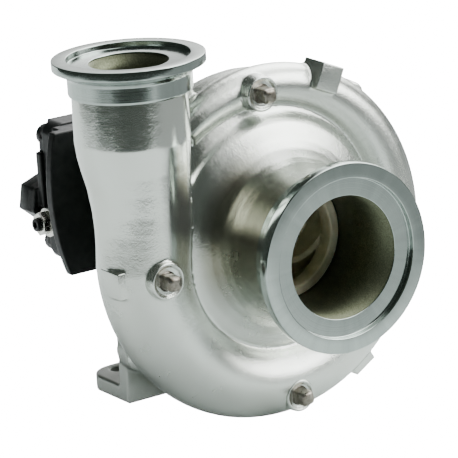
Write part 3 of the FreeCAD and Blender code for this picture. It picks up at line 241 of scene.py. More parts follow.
# The first setting after the name darkens the whole skin as painted shade; 1 leaves it unshaded.
def cast_metal(name, painted_dimming=1.0, low_rough=0.2, high_rough=0.29, polish=1.0):
    """Cast stainless: satin, with a sand-cast grain and slow waves; rough in its bores, which are painted
    dark as shade.
    """
    n = Nodes(name)
    n.set(Metallic=0.95)
    place = n.add("ShaderNodeSeparateXYZ")
    n.link(n.where, place.inputs[0])
    front = n.maths("LESS_THAN", place.outputs["Y"], EYE_DEEP * MM - FOOT_REACH)
    upper = n.ramp(place.outputs["Z"], [(SHAFT_HEIGHT - 10 * MM, 0.0), (SHAFT_HEIGHT + 35 * MM, polish)])
    inside = n.maths("GREATER_THAN", place.outputs["Z"], SHAFT_HEIGHT + 46 * MM)
    eye = n.maths("MULTIPLY", near_line(n, SHAFT_LINE, 39.5), front)
    pipe = n.maths("MULTIPLY", near_line(n, PIPE_LINE, 25), inside)
    bore = n.maths("MAXIMUM", eye, pipe)
    stain = n.noise(24, 4, 0.6, 0.4)
    skin = n.ramp(stain, [
        (0.3, (0.55, 0.575, 0.525)), (0.55, (0.585, 0.615, 0.57)), (0.75, (0.62, 0.655, 0.615)),
    ])
    # Painted shade: inside the bores the colour turns dark, with a fine grain
    bore_grain_and_shade = n.ramp(n.noise(1400, 3, 0.6), [(0.35, (0.08, 0.09, 0.055)), (0.7, (0.17, 0.185, 0.12))])

    # Painted shade: the side of the collar that faces the discharge pipe, in the crease beside it, is painted
    # dark and brownish
    _, square, reach = from_line(n, SHAFT_LINE)
    bearing = n.vector("NORMALIZE", square).outputs[0]
    sheltered = n.vector("DOT_PRODUCT", bearing, (-0.94, 0, 0.34)).outputs["Value"]
    beside = n.ramp(sheltered, [(0.45, 0.0), (0.85, 1.0)])
    inward = n.ramp(reach, [(52 * MM, 1.0), (62 * MM, 0.0)])
    dark = n.mix(1.0, beside, inward, "MULTIPLY")
    skin = n.mix(1.0, skin, n.mix(dark, (painted_dimming, painted_dimming, painted_dimming), (0.36, 0.34, 0.28)), "MULTIPLY")
    colour = n.mix(bore, skin, bore_grain_and_shade)

    # The pipe is smoother than the rest
    smooth = n.maths("MULTIPLY", near_line(n, PIPE_LINE, 34, 12), upper)
    rough = n.ramp(n.noise(60, 4, 0.6), [(0.3, low_rough), (0.7, high_rough)])
    rough = n.mix(smooth, rough, (0.12, 0.12, 0.12))
    rough = n.mix(bore, rough, (0.5, 0.5, 0.5))
    waves = n.bump(n.noise(60, 3, 0.5), 1.0, 0.12 * MM)
    knocks = n.bump(n.noise(260, 3, 0.55), 1.0, 0.05 * MM, waves)
    sand = n.bump(n.noise(900, 4, 0.65), 1.0, 0.14 * MM, knocks)
    n.link(n.maths("SUBTRACT", 1.0, n.maths("MULTIPLY", smooth, 0.7)), sand.node.inputs["Strength"])
    return n.finish(colour, rough, sand)


def machined_metal(name, line):
    """Lathe-turned stainless: fine rings about the line that the piece was turned on."""
    n = Nodes(name)
    n.set(Metallic=1.0, Anisotropic=0.4)
    axis = line[1]
    arm, square, length = from_line(n, line)
    along = n.vector("DOT_PRODUCT", arm, axis).outputs["Value"]
    ringed = n.add("ShaderNodeCombineXYZ")
    n.link(length, ringed.inputs["X"])
    n.link(along, ringed.inputs["Y"])
    n.link(n.vector("CROSS_PRODUCT", square, axis).outputs[0], n.shader.inputs["Tangent"])
    rings = n.noise(2600, 3, 0.6, where=ringed.outputs[0])
    colour = n.ramp(n.noise(30, 3), [(0.3, (0.35, 0.4, 0.375)), (0.7, (0.4, 0.45, 0.42))])
    bearing = n.vector("NORMALIZE", square).outputs[0]
    streaks = n.noise(7, 4, 0.7, where=bearing)
    colour = n.mix(0.35, colour, n.ramp(streaks, [(0.35, 0.62), (0.65, 1.0)]), "MULTIPLY")
    rough = n.ramp(n.noise(900, 2, where=ringed.outputs[0]), [(0.3, 0.1), (0.7, 0.18)])
    return n.finish(colour, rough, n.bump(rings, 1.0, 0.012 * MM))


def ground_steel():
    n = Nodes("ground_steel")
    n.set(Metallic=1.0)
    colour = n.ramp(n.noise(300, 3), [(0.3, (0.5, 0.5, 0.5)), (0.7, (0.62, 0.62, 0.62))])
    rough = n.ramp(n.noise(900, 2), [(0.3, 0.22), (0.7, 0.34)])
    return n.finish(colour, rough, n.bump(n.noise(2500, 2), 0.1, 0.1 * MM))


def zinc_plate():
    n = Nodes("zinc_plate")
    n.set(Metallic=1.0)
    colour = n.ramp(n.noise(500, 3), [(0.3, (0.72, 0.7, 0.6)), (0.7, (0.8, 0.8, 0.78))])
    rough = n.ramp(n.noise(900, 2), [(0.3, 0.2), (0.7, 0.32)])
    return n.finish(colour, rough, n.bump(n.noise(2500, 2), 0.1, 0.1 * MM))


def black_paint():
    n = Nodes("black_motor_finish")
    n.set(Metallic=0.0, Specular_IOR_Level=0.2)
    colour = n.ramp(n.noise(200, 4), [(0.3, (0.004, 0.005, 0.005)), (0.7, (0.009, 0.011, 0.01))])
    rough = n.ramp(n.noise(300, 3), [(0.3, 0.3), (0.7, 0.42)])
    return n.finish(colour, rough, n.bump(n.noise(700, 3), 1.0, 0.05 * MM))


def weathered_steel():
    """The plugs' matt brownish heads."""
    n = Nodes("weathered_plug_steel")
    n.set(Metallic=1.0)
    colour = n.ramp(n.noise(350, 4, 0.6), [(0.35, (0.14, 0.125, 0.1)), (0.65, (0.28, 0.265, 0.23))])
    rough = n.ramp(n.noise(500, 3), [(0.3, 0.25), (0.7, 0.42)])
    return n.finish(colour, rough, n.bump(n.noise(600, 3), 1.0, 0.12 * MM))


def cream_polymer():
    n = Nodes("cream_polymer")
    n.set(Metallic=0.0, Subsurface_Weight=0.08)
    colour = n.ramp(n.noise(150, 3), [(0.3, (0.62, 0.57, 0.4)), (0.7, (0.72, 0.67, 0.5))])
    rough = n.ramp(n.noise(400, 3), [(0.3, 0.38), (0.7, 0.5)])
    return n.finish(colour, rough, n.bump(n.noise(900, 3), 0.2, 0.2 * MM))


def black_rubber():
    n = Nodes("black_rubber")
    n.set(Metallic=0.0)
    colour = n.ramp(n.noise(400, 3), [(0.3, (0.012, 0.012, 0.012)), (0.7, (0.03, 0.03, 0.03))])
    rough = n.ramp(n.noise(700, 3), [(0.3, 0.6), (0.7, 0.75)])
    return n.finish(colour, rough, n.bump(n.noise(1500, 3), 0.3, 0.2 * MM))


def lapped(name, dark, light):
    n = Nodes(name)
    n.set(Metallic=0.0)
    colour = n.ramp(n.noise(800, 3), [(0.3, dark), (0.7, light)])
    rough = n.ramp(n.noise(1200, 3), [(0.3, 0.18), (0.7, 0.3)])
    return n.finish(colour, rough, n.bump(n.noise(2000, 2), 0.08, 0.1 * MM))


def bronze():
    n = Nodes("bush_bronze")
    n.set(Metallic=1.0)
    colour = n.ramp(n.noise(300, 3), [(0.3, (0.5, 0.33, 0.14)), (0.7, (0.66, 0.46, 0.22))])
    rough = n.ramp(n.noise(700, 3), [(0.3, 0.28), (0.7, 0.4)])
    return n.finish(colour, rough, n.bump(n.noise(1500, 2), 0.15, 0.1 * MM))


def white_floor():
    """Matt white paper with painted shade that dims it toward the right; the camera sees it brighter than it
    lights the metal.
    """
    n = Nodes("studio_floor")
    paper = n.add("ShaderNodeBsdfDiffuse")
    tint = n.ramp(n.noise(2, 2), [(0.3, (0.74, 0.79, 0.79)), (0.7, (0.76, 0.81, 0.81))])
    aside = n.vector("DOT_PRODUCT", n.where, DIM_SIDE).outputs["Value"]
    shade = n.ramp(aside, [(0.2, 1.0), (0.38, 0.33)])
    n.link(n.mix(1.0, tint, shade, "MULTIPLY"), paper.inputs["Color"])
    glow = n.add("ShaderNodeEmission")
    glow.inputs["Strength"].default_value = FLOOR_GLOW
    seen = n.add("ShaderNodeLightPath")
    bright = glow.outputs[0]
    for _ in range(3):
        more = n.add("ShaderNodeAddShader")
        n.link(bright, more.inputs[0])
        n.link(paper.outputs[0], more.inputs[1])
        bright = more.outputs[0]
    mix = n.add("ShaderNodeMixShader")
    n.link(seen.outputs["Is Camera Ray"], mix.inputs[0])
    n.link(paper.outputs[0], mix.inputs[1])
    n.link(bright, mix.inputs[2])
    n.link(mix.outputs[0], n.tree.nodes["Material Output"].inputs["Surface"])
    return n.material


SLOT_OF = {part["node"]: part["material_slot"] for part in frame["record"]["subparts"]}
BODY_OF = {}
for body_name, body_nodes in frame["record"]["behaviour"]["bodies"].items():
    for node_name in body_nodes:
        BODY_OF[node_name] = body_name

MATERIALS = {
    "cast_stainless": cast_metal("cast_stainless"),
    "machined_stainless": machined_metal("machined_stainless", SHAFT_LINE),
    "steel": ground_steel(),
    "zinc_steel": zinc_plate(),
    "black_motor": black_paint(),
    "plug_steel": weathered_steel(),
    "cream_polymer": cream_polymer(),
    "black_rubber": black_rubber(),
    "seal_ceramic": lapped("seal_ceramic", (0.72, 0.7, 0.64), (0.84, 0.82, 0.76)),
    "seal_carbon": lapped("seal_carbon", (0.02, 0.02, 0.022), (0.05, 0.05, 0.052)),
    "bush_bronze": bronze(),
}
# The adapter's cast metal is rougher, and painted darker all over as shade of the casing over its foot.
ADAPTER_METAL = cast_metal("cast_stainless_shaded", 0.62, 0.3, 0.4, 0.0)


def dress_nodes():
    for name, obj in frame["nodes"].items():
        obj.data.materials.clear()
        obj.data.materials.append(MATERIALS[SLOT_OF[name]])


# Shapes. Lengths here are millimetres in the pump frame, until placed() turns them into metres.

CORNER_STEPS = 4
LOFT_SEGMENTS = 72
ROD_SEGMENTS = 48


def placed(name, vertices, faces, material, body="stator"):
    """An object from points of the pump frame, riding on a body."""
    mesh = bpy.data.meshes.new(name)
    mesh.from_pydata([pump(*v) for v in vertices], [], faces)
    mesh.validate()
    form = bmesh.new()
    form.from_mesh(mesh)
    bmesh.ops.remove_doubles(form, verts=form.verts, dist=1e-6)
    bmesh.ops.recalc_face_normals(form, faces=form.faces)
    form.to_mesh(mesh)
    form.free()
    obj = bpy.data.objects.new(name, mesh)
    bpy.context.scene.collection.objects.link(obj)
    mesh.materials.append(material)
    mesh.shade_smooth()
    if body:
        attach(obj, body)
    return obj


def about_shaft(radius, station, angle):
    return (radius * math.cos(angle), station, radius * math.sin(angle))


def about_riser(radius, height, angle):
    return (PIPE_X + radius * math.cos(angle), PIPE_AT - radius * math.sin(angle), height)


def lathe(profile, turn=about_shaft, segments=96):
    """A turned form from (radius, station) corners; it closes on itself, or on the axis."""
    vertices = []
    faces = []
    rings = []
    for radius, station in profile:
        if radius < 1e-6:
            rings.append([len(vertices)] * segments)
            vertices.append(turn(0, station, 0))
            continue
        first = len(vertices)
        rings.append(list(range(first, first + segments)))
        for step in range(segments):
            vertices.append(turn(radius, station, 2 * math.pi * step / segments))
    closed = profile[0][0] > 1e-6
    count = len(rings)
    for i in range(count if closed else count - 1):
        a, b = rings[i], rings[(i + 1) % count]
        for step in range(segments):
            after = (step + 1) % segments
            corners = []
            for v in (a[step], a[after], b[after], b[step]):
                if v not in corners:
                    corners.append(v)
            if len(corners) > 2:
                faces.append(corners)
    return vertices, faces


def rounded(profile, radius):
    """The profile with each corner eased by a small arc."""
    count = len(profile)
    out = []
    for i, point in enumerate(profile):
        here = Vector((point[0], point[1]))
        before = Vector(profile[i - 1][:2]) - here
        after = Vector(profile[(i + 1) % count][:2]) - here
        reach = min(radius, before.length * 0.45, after.length * 0.45)
        start = here + before.normalized() * reach
        end = here + after.normalized() * reach
        for step in range(CORNER_STEPS + 1):
            t = step / CORNER_STEPS
            spot = start * (1 - t) ** 2 + here * (2 * t * (1 - t)) + end * t ** 2
            out.append((spot.x, spot.y))
    return out


def tube_faces(rings, segments):
    """The faces of a tube through rings of points, closed at both ends."""
    faces = []
    for i in range(rings - 1):
        for step in range(segments):
            after = (step + 1) % segments
            a = i * segments
            faces.append([a + step, a + after, a + segments + after, a + segments + step])
    faces.append(list(range(segments)))
    last = (rings - 1) * segments
    faces.append(list(range(last, last + segments)))
    return faces


def loft(sections):
    """A closed tube through circles, each given as (centre, first axis, second axis, radius)."""
    vertices = []
    for centre, first, second, radius in sections:
        for step in range(LOFT_SEGMENTS):
            angle = 2 * math.pi * step / LOFT_SEGMENTS
            arm = math.cos(angle) * Vector(first) + math.sin(angle) * Vector(second)
            vertices.append(tuple(Vector(centre) + radius * arm))
    return vertices, tube_faces(len(sections), LOFT_SEGMENTS)


def block(centre, axes, sizes, taper=1.0):
    """A box about a centre; its face at the end of the second axis shrinks by taper."""
    vertices = []
    x, y, z = (Vector(a).normalized() for a in axes)
    for j in (-1, 1):
        shrink = taper if j < 0 else 1.0
        for i, k in ((-1, -1), (1, -1), (1, 1), (-1, 1)):
            spot = Vector(centre) + x * (i * sizes[0] / 2 * shrink) + y * (j * sizes[1] / 2)
            spot += z * (k * sizes[2] / 2 * shrink)
            vertices.append(tuple(spot))
    faces = [[0, 1, 2, 3], [4, 5, 6, 7], [0, 1, 5, 4], [1, 2, 6, 5], [2, 3, 7, 6], [3, 0, 4, 7]]
    return vertices, faces


def rod(centre, first_r, last_r, deep):
    """A round boss that runs back from a point on its front face."""
    x, y, z = centre
    profile = [(0, y), (first_r, y), (last_r, y + deep), (0, y + deep)]

    def turn(radius, station, angle):
        return (x + radius * math.cos(angle), station, z + radius * math.sin(angle))

    return lathe(profile, turn, ROD_SEGMENTS)


def joined(forms):
    vertices = []
    faces = []
    for some_vertices, some_faces in forms:
        first = len(vertices)
        vertices += some_vertices
        faces += [[first + i for i in face] for face in some_faces]
    return vertices, faces


def applied(obj):
    """The object's mesh with its modifiers worked in."""
    graph = bpy.context.evaluated_depsgraph_get()
    mesh = bpy.data.meshes.new_from_object(obj.evaluated_get(graph))
    old = obj.data
    obj.modifiers.clear()
    obj.data = mesh
    bpy.data.meshes.remove(old)
    return obj


def melted(name, forms, material, voxel, smoothing):
    """Overlapping closed forms run together into one cast skin with eased corners."""
    vertices, faces = joined(forms)
    obj = placed(name, vertices, faces, material, body=None)
    melt = obj.modifiers.new("melt", "REMESH")
    melt.mode = "VOXEL"
    melt.voxel_size = voxel * MM
    melt.adaptivity = 0
    ease = obj.modifiers.new("ease", "SMOOTH")
    ease.factor = 0.5
    ease.iterations = smoothing
    return applied(obj)


def carved(obj, tool):
    cut = obj.modifiers.new("carve", "BOOLEAN")
    cut.operation = "DIFFERENCE"
    cut.solver = "MANIFOLD"
    cut.object = tool
    applied(obj)
    bpy.data.objects.remove(tool)
    return obj


def copied(node):
    """A new piece with a copy of a node's mesh, in the node's place."""
    obj = bpy.data.objects.new(node + "_finish", frame["nodes"][node].data.copy())
    bpy.context.scene.collection.objects.link(obj)
    form = bmesh.new()
    form.from_mesh(obj.data)
    bmesh.ops.remove_doubles(form, verts=form.verts, dist=1e-6)
    bmesh.ops.dissolve_limit(form, angle_limit=math.radians(0.6), verts=form.verts, edges=form.edges)
    form.to_mesh(obj.data)
    form.free()
    return obj


def seated(obj, node):
    """Let a finished copy stand for its node."""
    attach(obj, BODY_OF[node])
    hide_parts(node)
    return obj


def eased(node, width):
    """A hard-edged piece with small bright edges."""
    obj = copied(node)
    bevel = obj.modifiers.new("edges", "BEVEL")
    bevel.width = width * MM
    bevel.segments = 2
    bevel.limit_method = "ANGLE"
    bevel.angle_limit = math.radians(32)
    bevel.use_clamp_overlap = True
    applied(obj)
    obj.data.shade_smooth()
    obj.data.set_sharp_from_angle(angle=math.radians(30))
    return seated(obj, node)


def moulded(node, voxel, smoothing=4, more=(), less=()):
    """A cast piece: the node's form with soft edges all round, with forms added or taken away."""
    obj = copied(node)
    for form in less:
        carved(obj, placed(node + "_less", *form, MATERIALS[SLOT_OF[node]], body=None))
    if more:
        mesh = bmesh.new()
        mesh.from_mesh(obj.data)
        for vertices, faces in more:
            extra = bpy.data.meshes.new("extra")
            extra.from_pydata([pump(*v) for v in vertices], [], faces)
            form = bmesh.new()
            form.from_mesh(extra)
            bmesh.ops.recalc_face_normals(form, faces=form.faces)
            form.to_mesh(extra)
            form.free()
            mesh.from_mesh(extra)
            bpy.data.meshes.remove(extra)
        mesh.to_mesh(obj.data)
        mesh.free()
    melt = obj.modifiers.new("melt", "REMESH")
    melt.mode = "VOXEL"
    melt.voxel_size = voxel * MM
    ease = obj.modifiers.new("ease", "SMOOTH")
    ease.factor = 0.5
    ease.iterations = smoothing
    applied(obj)
    obj.data.shade_smooth()
    return seated(obj, node)


# Casing

SPIRAL_SECTIONS = 80
RISER_STEPS = 40


def spiral(first_tube, last_tube):
    """A tube that winds round the casing and widens, inside or outside the wall."""
    sections = []
    for step in range(SPIRAL_SECTIONS + 1):
        share = step / SPIRAL_SECTIONS
        angle = math.radians(SPIRAL_START - SPIRAL_TURN * share)
        wall = TUBE_FIRST_R + (TUBE_LAST_R - TUBE_FIRST_R) * share
        reach = SPIRAL_FIRST_R + (SPIRAL_LAST_R - SPIRAL_FIRST_R) * share - wall
        station = TUBE_FIRST_AT + (TUBE_LAST_AT - TUBE_FIRST_AT) * share
        outward = (math.cos(angle), 0, math.sin(angle))
        centre = (reach * outward[0], station, reach * outward[2])
        sections.append((centre, outward, (0, 1, 0), first_tube + (last_tube - first_tube) * share))
    return loft(sections)


def riser(radii, top):
    """A leaning pipe from the spiral's end, its radius eased through the given values at even heights."""
    sections = []
    start = SPIRAL_LAST_R - TUBE_LAST_R
    for step in range(RISER_STEPS + 1):
        share = step / RISER_STEPS
        lean = share * share
        place = share * (len(radii) - 1)
        i = min(int(place), len(radii) - 2)
        t = place - i
        before = radii[max(i - 1, 0)]
        after = radii[min(i + 2, len(radii) - 1)]
        rise = (radii[i + 1] - before) / 2
        run = (after - radii[i]) / 2
        radius = (radii[i] * (1 + 2 * t) * (1 - t) ** 2 + radii[i + 1] * t * t * (3 - 2 * t)
                  + rise * t * (1 - t) ** 2 - run * t * t * (1 - t))
        x = -start + (PIPE_X + start) * lean
        station = TUBE_LAST_AT + (PIPE_AT - TUBE_LAST_AT) * lean
        sections.append(((x, station, top * share), (1, 0, 0), (0, -1, 0), radius))
    return loft(sections)


# The pipe's outside: height, place across the view, front, radius. It turns from a cylinder
# into a cone at a soft crease.
PIPE_SKIN = (
    (0, -113.2, 10.4, 26.5), (12, -112.3, 10.1, 26.7), (22, -111.8, 9.9, 27.1), (33, -111.9, 9.8, 27.8),
    (45, -112.4, 10.0, 29.0), (56, -113.4, 10.5, 30.8), (64, -113.9, 11.3, 31.8), (72, -114.0, 12.2, 32.5),
    (85, -113.9, 12.0, 32.5), (102, -113.7, 11.7, 32.4),
)


def pipe_skin():
    """The discharge pipe's outside."""
    across = Vector((math.cos(VIEW_TURN), math.sin(VIEW_TURN), 0))
    ahead = Vector((math.sin(VIEW_TURN), -math.cos(VIEW_TURN), 0))
    sections = []
    for height, place, front, radius in PIPE_SKIN:
        centre = across * place + ahead * (front - radius)
        sections.append(((centre.x, centre.y, height), (1, 0, 0), (0, -1, 0), radius))
    return loft(sections)


COVER_PROFILE = [
    (0, 21), (45.6, 21), (44.2, 22.6), (43.6, 24.5), (43.5, 34), (43.9, 42), (45.2, 49), (47.6, 54.5),
    (51.5, 59.2), (56.5, 62.6), (62.5, 65.2), (65.5, 66.7), (67.6, 68.6), (69.2, 70.8), (71.2, 72.6),
    (74.0, 73.6), (80, 76.0), (88, 82), (92, 86.5), (CASING_REAR_R, 88.5), (CASING_REAR_R, JOINT_AT),
    (0, JOINT_AT),
]
CHAMBER_PROFILE = [
    (0, -5), (35.1, -5), (35.1, 55), (35.6, 56), (35.6, 66), (40.7, 69.7), (50, 73), (69, 76), (69, 92),
    (80, 92), (80, 99), (0, 99),
]
# A lug's angle about the shaft, reach and front station
LUGS = {"upper": (65.7, 101.8, 62.0), "side": (182.5, 112.4, 60.0), "lower": (-58.7, 107.8, 67.0)}
# A plug's place across and up, its boss's front station and radius
PLUGS = {
    "vent_plug": (-7.0, 84.8, 62.6, 10.0),
    "gauge_plug": (-88.7, -3.3, 45.5, 10.4),
    "drain_plug": (0.2, -93.6, 54.3, 9.2),
}
# A casing bolt's angle about the shaft and reach
BOLTS = ((118, 96), (43, 96), (-3, 101.5), (-37, 98), (-143, 100))
FOOT_PADS = (-143, -37)
EAR_R = 9
EAR_DEEP = 11.5
EAR_ROOT = 85
LUG_SIZE = (16, 18, 16)
BACK_R = 95
BACK_DEEP = 43


def spoke(angle):
    """The directions outward and around at an angle about the shaft."""
    turn = math.radians(angle)
    return (math.cos(turn), 0, math.sin(turn)), (-math.sin(turn), 0, math.cos(turn))


def on_spoke(angle, reach, station):
    outward, _ = spoke(angle)
    return reach * outward[0], station, reach * outward[2]


def lug(angle, reach, station):
    outward, around = spoke(angle)
    centre = on_spoke(angle, reach - LUG_SIZE[0] / 2, station + LUG_SIZE[1] / 2)
    return block(centre, (outward, (0, 1, 0), around), LUG_SIZE, 0.97)


def make_casing():
    """The cast body: cover, spiral, pipe, lugs, bosses and ears melted together, then hollowed."""
    voxel = 0.85
    forms = [lathe(COVER_PROFILE), spiral(TUBE_FIRST_R, TUBE_LAST_R)]
    forms.append(pipe_skin())
    for angle, reach, station in LUGS.values():
        forms.append(lug(angle, reach, station))
    for x, z, station, boss_r in PLUGS.values():
        forms.append(rod((x, station + 1, z), boss_r - 0.2, boss_r + 0.6, TUBE_LAST_AT - station))
    for angle, reach in BOLTS:
        outward, around = spoke(angle)
        forms.append(rod(on_spoke(angle, reach, JOINT_AT - EAR_DEEP), EAR_R - 0.8, EAR_R, EAR_DEEP))
        middle = on_spoke(angle, (reach + EAR_ROOT) / 2, JOINT_AT - EAR_DEEP / 2)
        sizes = (reach - EAR_ROOT, EAR_DEEP, 2 * EAR_R - 2)
        forms.append(block(middle, (outward, (0, 1, 0), around), sizes))
    casing = melted("casing_body", forms, MATERIALS["cast_stainless"], voxel, 5)

    hollow = [lathe(CHAMBER_PROFILE), spiral(CHANNEL_FIRST_R, CHANNEL_LAST_R)]
    hollow.append(lathe([(64, 80.5), (89, 80.5), (89, 88.5), (64, 88.5)]))
    hollow.append(riser([17, 17, 18.5, 22.3, 22.3], PIPE_TOP + 20))
    inside = melted("casing_inside", hollow, MATERIALS["cast_stainless"], voxel, 2)
    carved(casing, inside)
    far = JOINT_AT + BACK_DEEP
    backs = [lathe([(0, JOINT_AT), (BACK_R, JOINT_AT), (BACK_R, far), (0, far)])]
    for angle, reach in BOLTS:
        backs.append(rod(on_spoke(angle, reach, JOINT_AT), EAR_R + 0.6, EAR_R + 0.6, BACK_DEEP))
    for angle in FOOT_PADS:
        backs.append(rod(on_spoke(angle, BACK_R, JOINT_AT), 14.1, 14.1, BACK_DEEP))
    for form in backs:
        carved(casing, placed("casing_back", *form, MATERIALS["cast_stainless"], body=None))
    for x, z, station, boss_r in PLUGS.values():
        seat = rod((x, station - 2, z), boss_r - 1.3, boss_r - 1.8, 5.0)
        carved(casing, placed("plug_seat", *seat, MATERIALS["cast_stainless"], body=None))
    casing.data.shade_smooth()
    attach(casing, "stator")
    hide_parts("volute_casing")
    return casing


def make_lugs():
    """The lugs' crisp faces, a little proud of the cast skin."""
    for name, (angle, reach, station) in LUGS.items():
        form = lug(angle, reach + 0.2, station - 0.4)
        face = placed(name + "_lug", *form, MATERIALS["cast_stainless"])
        bevel = face.modifiers.new("edges", "BEVEL")
        bevel.width = 0.7 * MM
        bevel.segments = 3
        applied(face)
        face.data.shade_smooth()
        face.data.set_sharp_from_angle(angle=math.radians(50))
        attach(face, "stator")


def make_boss_rims():
    """The raised rim and shallow seat round each pipe plug."""
    for node, (x, z, station, boss_r) in PLUGS.items():
        profile = [
            (5.6, 1.3), (boss_r - 2.6, 1.2), (boss_r - 1.7, 0.5), (boss_r - 1.1, 0.0), (boss_r - 0.3, 0.0),
            (boss_r + 0.2, 0.5), (boss_r + 0.5, 3.5), (boss_r + 0.9, 9.0), (6.4, 9.0), (6.4, 2.1), (5.6, 2.0),
        ]

        def turn(radius, back, angle):
            return (x + radius * math.cos(angle), station + back, z + radius * math.sin(angle))

        rim = placed(node + "_boss", *lathe(rounded(profile, 0.35), turn, 72), MATERIALS["cast_stainless"])


def make_flanges():
    """The turned ends of the casing: crisp rims, steps and machined necks."""
    ring = [
        (35.1, 3.3), (45.5, 3.3), (45.5, 0), (54.3, 0), (54.3, 6.5), (46.5, 14.5), (46.5, 21.8),
        (44.0, 23.2), (40, 23.2), (36.2, 22.0), (36.2, 5.0), (35.1, 4.2),
    ]
    turned = MATERIALS["machined_stainless"]
    suction = placed("suction_flange", *lathe(rounded(ring, 0.6), segments=160), turned)
    # A thin cast-metal sleeve covers the turned bore; the cast material paints it dark as shade
    liner = [(34.95, 4.2), (36.4, 4.4), (36.4, 54.8), (35.3, 54.8), (34.95, 54.4)]
    placed("suction_liner", *lathe(liner, segments=128), MATERIALS["cast_stainless"])
    face = 118.9
    under = face - 5.2
    ring = [
        (22.3, face - 3.4), (34.5, face - 3.4), (34.5, face), (42.9, face), (42.9, under),
        (36.0, under - 3.5), (34.9, under - 5.2), (34.9, 99.6), (34.4, 98.6), (32.4, 98.2), (23.6, 98.0),
        (23.6, face - 5.0), (22.3, face - 4.3),
    ]
    # A thin cast-metal sleeve covers the pipe's bore; the cast material paints it dark as shade
    liner = [(22.3, face - 4.4), (24.2, face - 5.0), (24.2, 97.5), (22.3, 97.5)]
    placed("discharge_liner", *lathe(liner, about_riser, 96), MATERIALS["cast_stainless"])
    upright = machined_metal("machined_stainless_upright", PIPE_LINE)
    discharge = placed("discharge_flange", *lathe(rounded(ring, 0.5), about_riser, 144), upright)


# Motor and plugs

RIM_CUT = (217.5, 227)
HEX_BACK = 256
HEX_PULL = 7
# A plug from its head's tip back into the casing: station, half width, squareness
PLUG_SECTIONS = (
    (-8.05, 0.8, 2), (-8.0, 2.4, 2.4), (-7.7, 3.3, 3), (-7.1, 3.9, 3.8), (-6.2, 4.15, 4.5), (-2.6, 4.2, 4.6),
    (1.9, 4.25, 4.2), (2.2, 5.2, 2.6), (2.3, 6.1, 2), (9.0, 6.1, 2),
)
PLUG_SEGMENTS = 64
PLUG_TURNS = (5, -4, 9)


def frame_form(outer, inner, first, last):
    """A rectangular frame between two stations; each rectangle is left, right, bottom, top."""
    vertices = []
    for station in (first, last):
        for left, right, bottom, top in (outer, inner):
            for x, z in ((left, bottom), (right, bottom), (right, top), (left, top)):
                vertices.append((x, station, z))
    faces = []
    for i in range(4):
        j = (i + 1) % 4
        faces.append([i, j, 4 + j, 4 + i])
        faces.append([8 + i, 8 + j, 12 + j, 12 + i])
        faces.append([i, j, 8 + j, 8 + i])
        faces.append([4 + i, 4 + j, 12 + j, 12 + i])
    return vertices, faces


def box_form(low, high):
    centre = [(a + b) / 2 for a, b in zip(low, high)]
    sizes = [b - a for a, b in zip(low, high)]
    return block(centre, ((1, 0, 0), (0, 1, 0), (0, 0, 1)), sizes)


def make_motor():
    """The motor's plates, with a thin bowed rim in front and a pad at each side of the rear cover."""
    rim = frame_form((-80, 80, -70, 70), (-51.5, 51.5, -40.5, 60), *RIM_CUT)
    moulded("motor_body", 0.6, 4, less=[rim])
    moulded("gerotor_housing", 0.6, 4)
    pads = [
        box_form((-52.6, 240.2, -6.5), (-40, 245.8, 27.5)),
        box_form((40, 240.2, -6.5), (52.6, 245.8, 27.5)),
    ]
    moulded("motor_end_cover", 0.6, 3, more=pads)
    for node in ("pressure_port_adapter", "tank_port_adapter"):
        port = eased(node, 0.6)
        for v in port.data.vertices:
            if abs(v.co.y + FOOT_REACH - HEX_BACK * MM) < 1.2 * MM:
                v.co.y -= HEX_PULL * MM
        port.data.update()


def make_plug(node, x, z, station, turn):
    """A square-head pipe plug, its corners worn round."""
    vertices = []
    for back, half, power in PLUG_SECTIONS:
        for step in range(PLUG_SEGMENTS):
            angle = 2 * math.pi * step / PLUG_SEGMENTS
            c, s = math.cos(angle), math.sin(angle)
            reach = half / (abs(c) ** power + abs(s) ** power) ** (1 / power)
            spin = angle + math.radians(turn)
            vertices.append((x + reach * math.cos(spin), station + back, z + reach * math.sin(spin)))
    faces = tube_faces(len(PLUG_SECTIONS), PLUG_SEGMENTS)
    plug = placed(node + "_finish", vertices, faces, MATERIALS["plug_steel"], body=None)
    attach(plug, BODY_OF[node])
    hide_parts(node)


def make_copies():
    adapter = moulded("adapter", 0.9)
    adapter.data.materials[0] = ADAPTER_METAL
    make_motor()
    for (node, (x, z, station, _)), turn in zip(PLUGS.items(), PLUG_TURNS):
        make_plug(node, x, z, station, turn)
    for node in ("casing_bolts", "casing_washers", "bypass_washer", "bypass_jam_nut", "bypass_screw",
                 "motor_mount_screws", "impeller_nut", "impeller_washer", "seal_seat", "seal_retainer"):
        eased(node, 0.3)
    screws = eased("motor_cap_screws", 0.5)
    screws.data.materials[0] = MATERIALS["black_motor"]
    eased("impeller", 0.4)


# Studio. A panel: azimuth from the pump's front toward +X, rise, half width, half height,
# softness of the edge (all three as tangents), strength.

ROOM = (0.058, 0.071, 0.062)
PAPER_GLOW = 18
FLOOR_CORNERS = (
    (0.665, -0.45), (0.665, 1.6), (-3.2, 1.6), (-3.2, -1.6), (-1.2, -1.6), (-0.6, -1.0), (0.3, -0.9),
)
PANELS = (
    (48, 27, 0.4, 0.34, 0.16, 10.0),
    (70, 62, 0.95, 0.36, 0.25, 2.6),
    (125, 38, 0.36, 0.42, 0.2, 8.0),
    (150, 8, 0.5, 0.22, 0.12, 1.0),
    (-128, 30, 0.3, 0.35, 0.25, 0.07),
    (85, 3, 1.0, 0.26, 0.15, 0.16),
)


def make_overhead():
    """A soft lamp high over the pump's right."""
    data = bpy.data.lights.new("overhead", "AREA")
    data.energy = 3
    data.shape = "RECTANGLE"
    data.size = 0.9
    data.size_y = 0.9
    lamp = bpy.data.objects.new("overhead", data)
    lamp.location = (0.5, -0.3, 1.5)
    lamp.rotation_euler = (-lamp.location).to_track_quat("-Z", "Y").to_euler()
    bpy.context.scene.collection.objects.link(lamp)


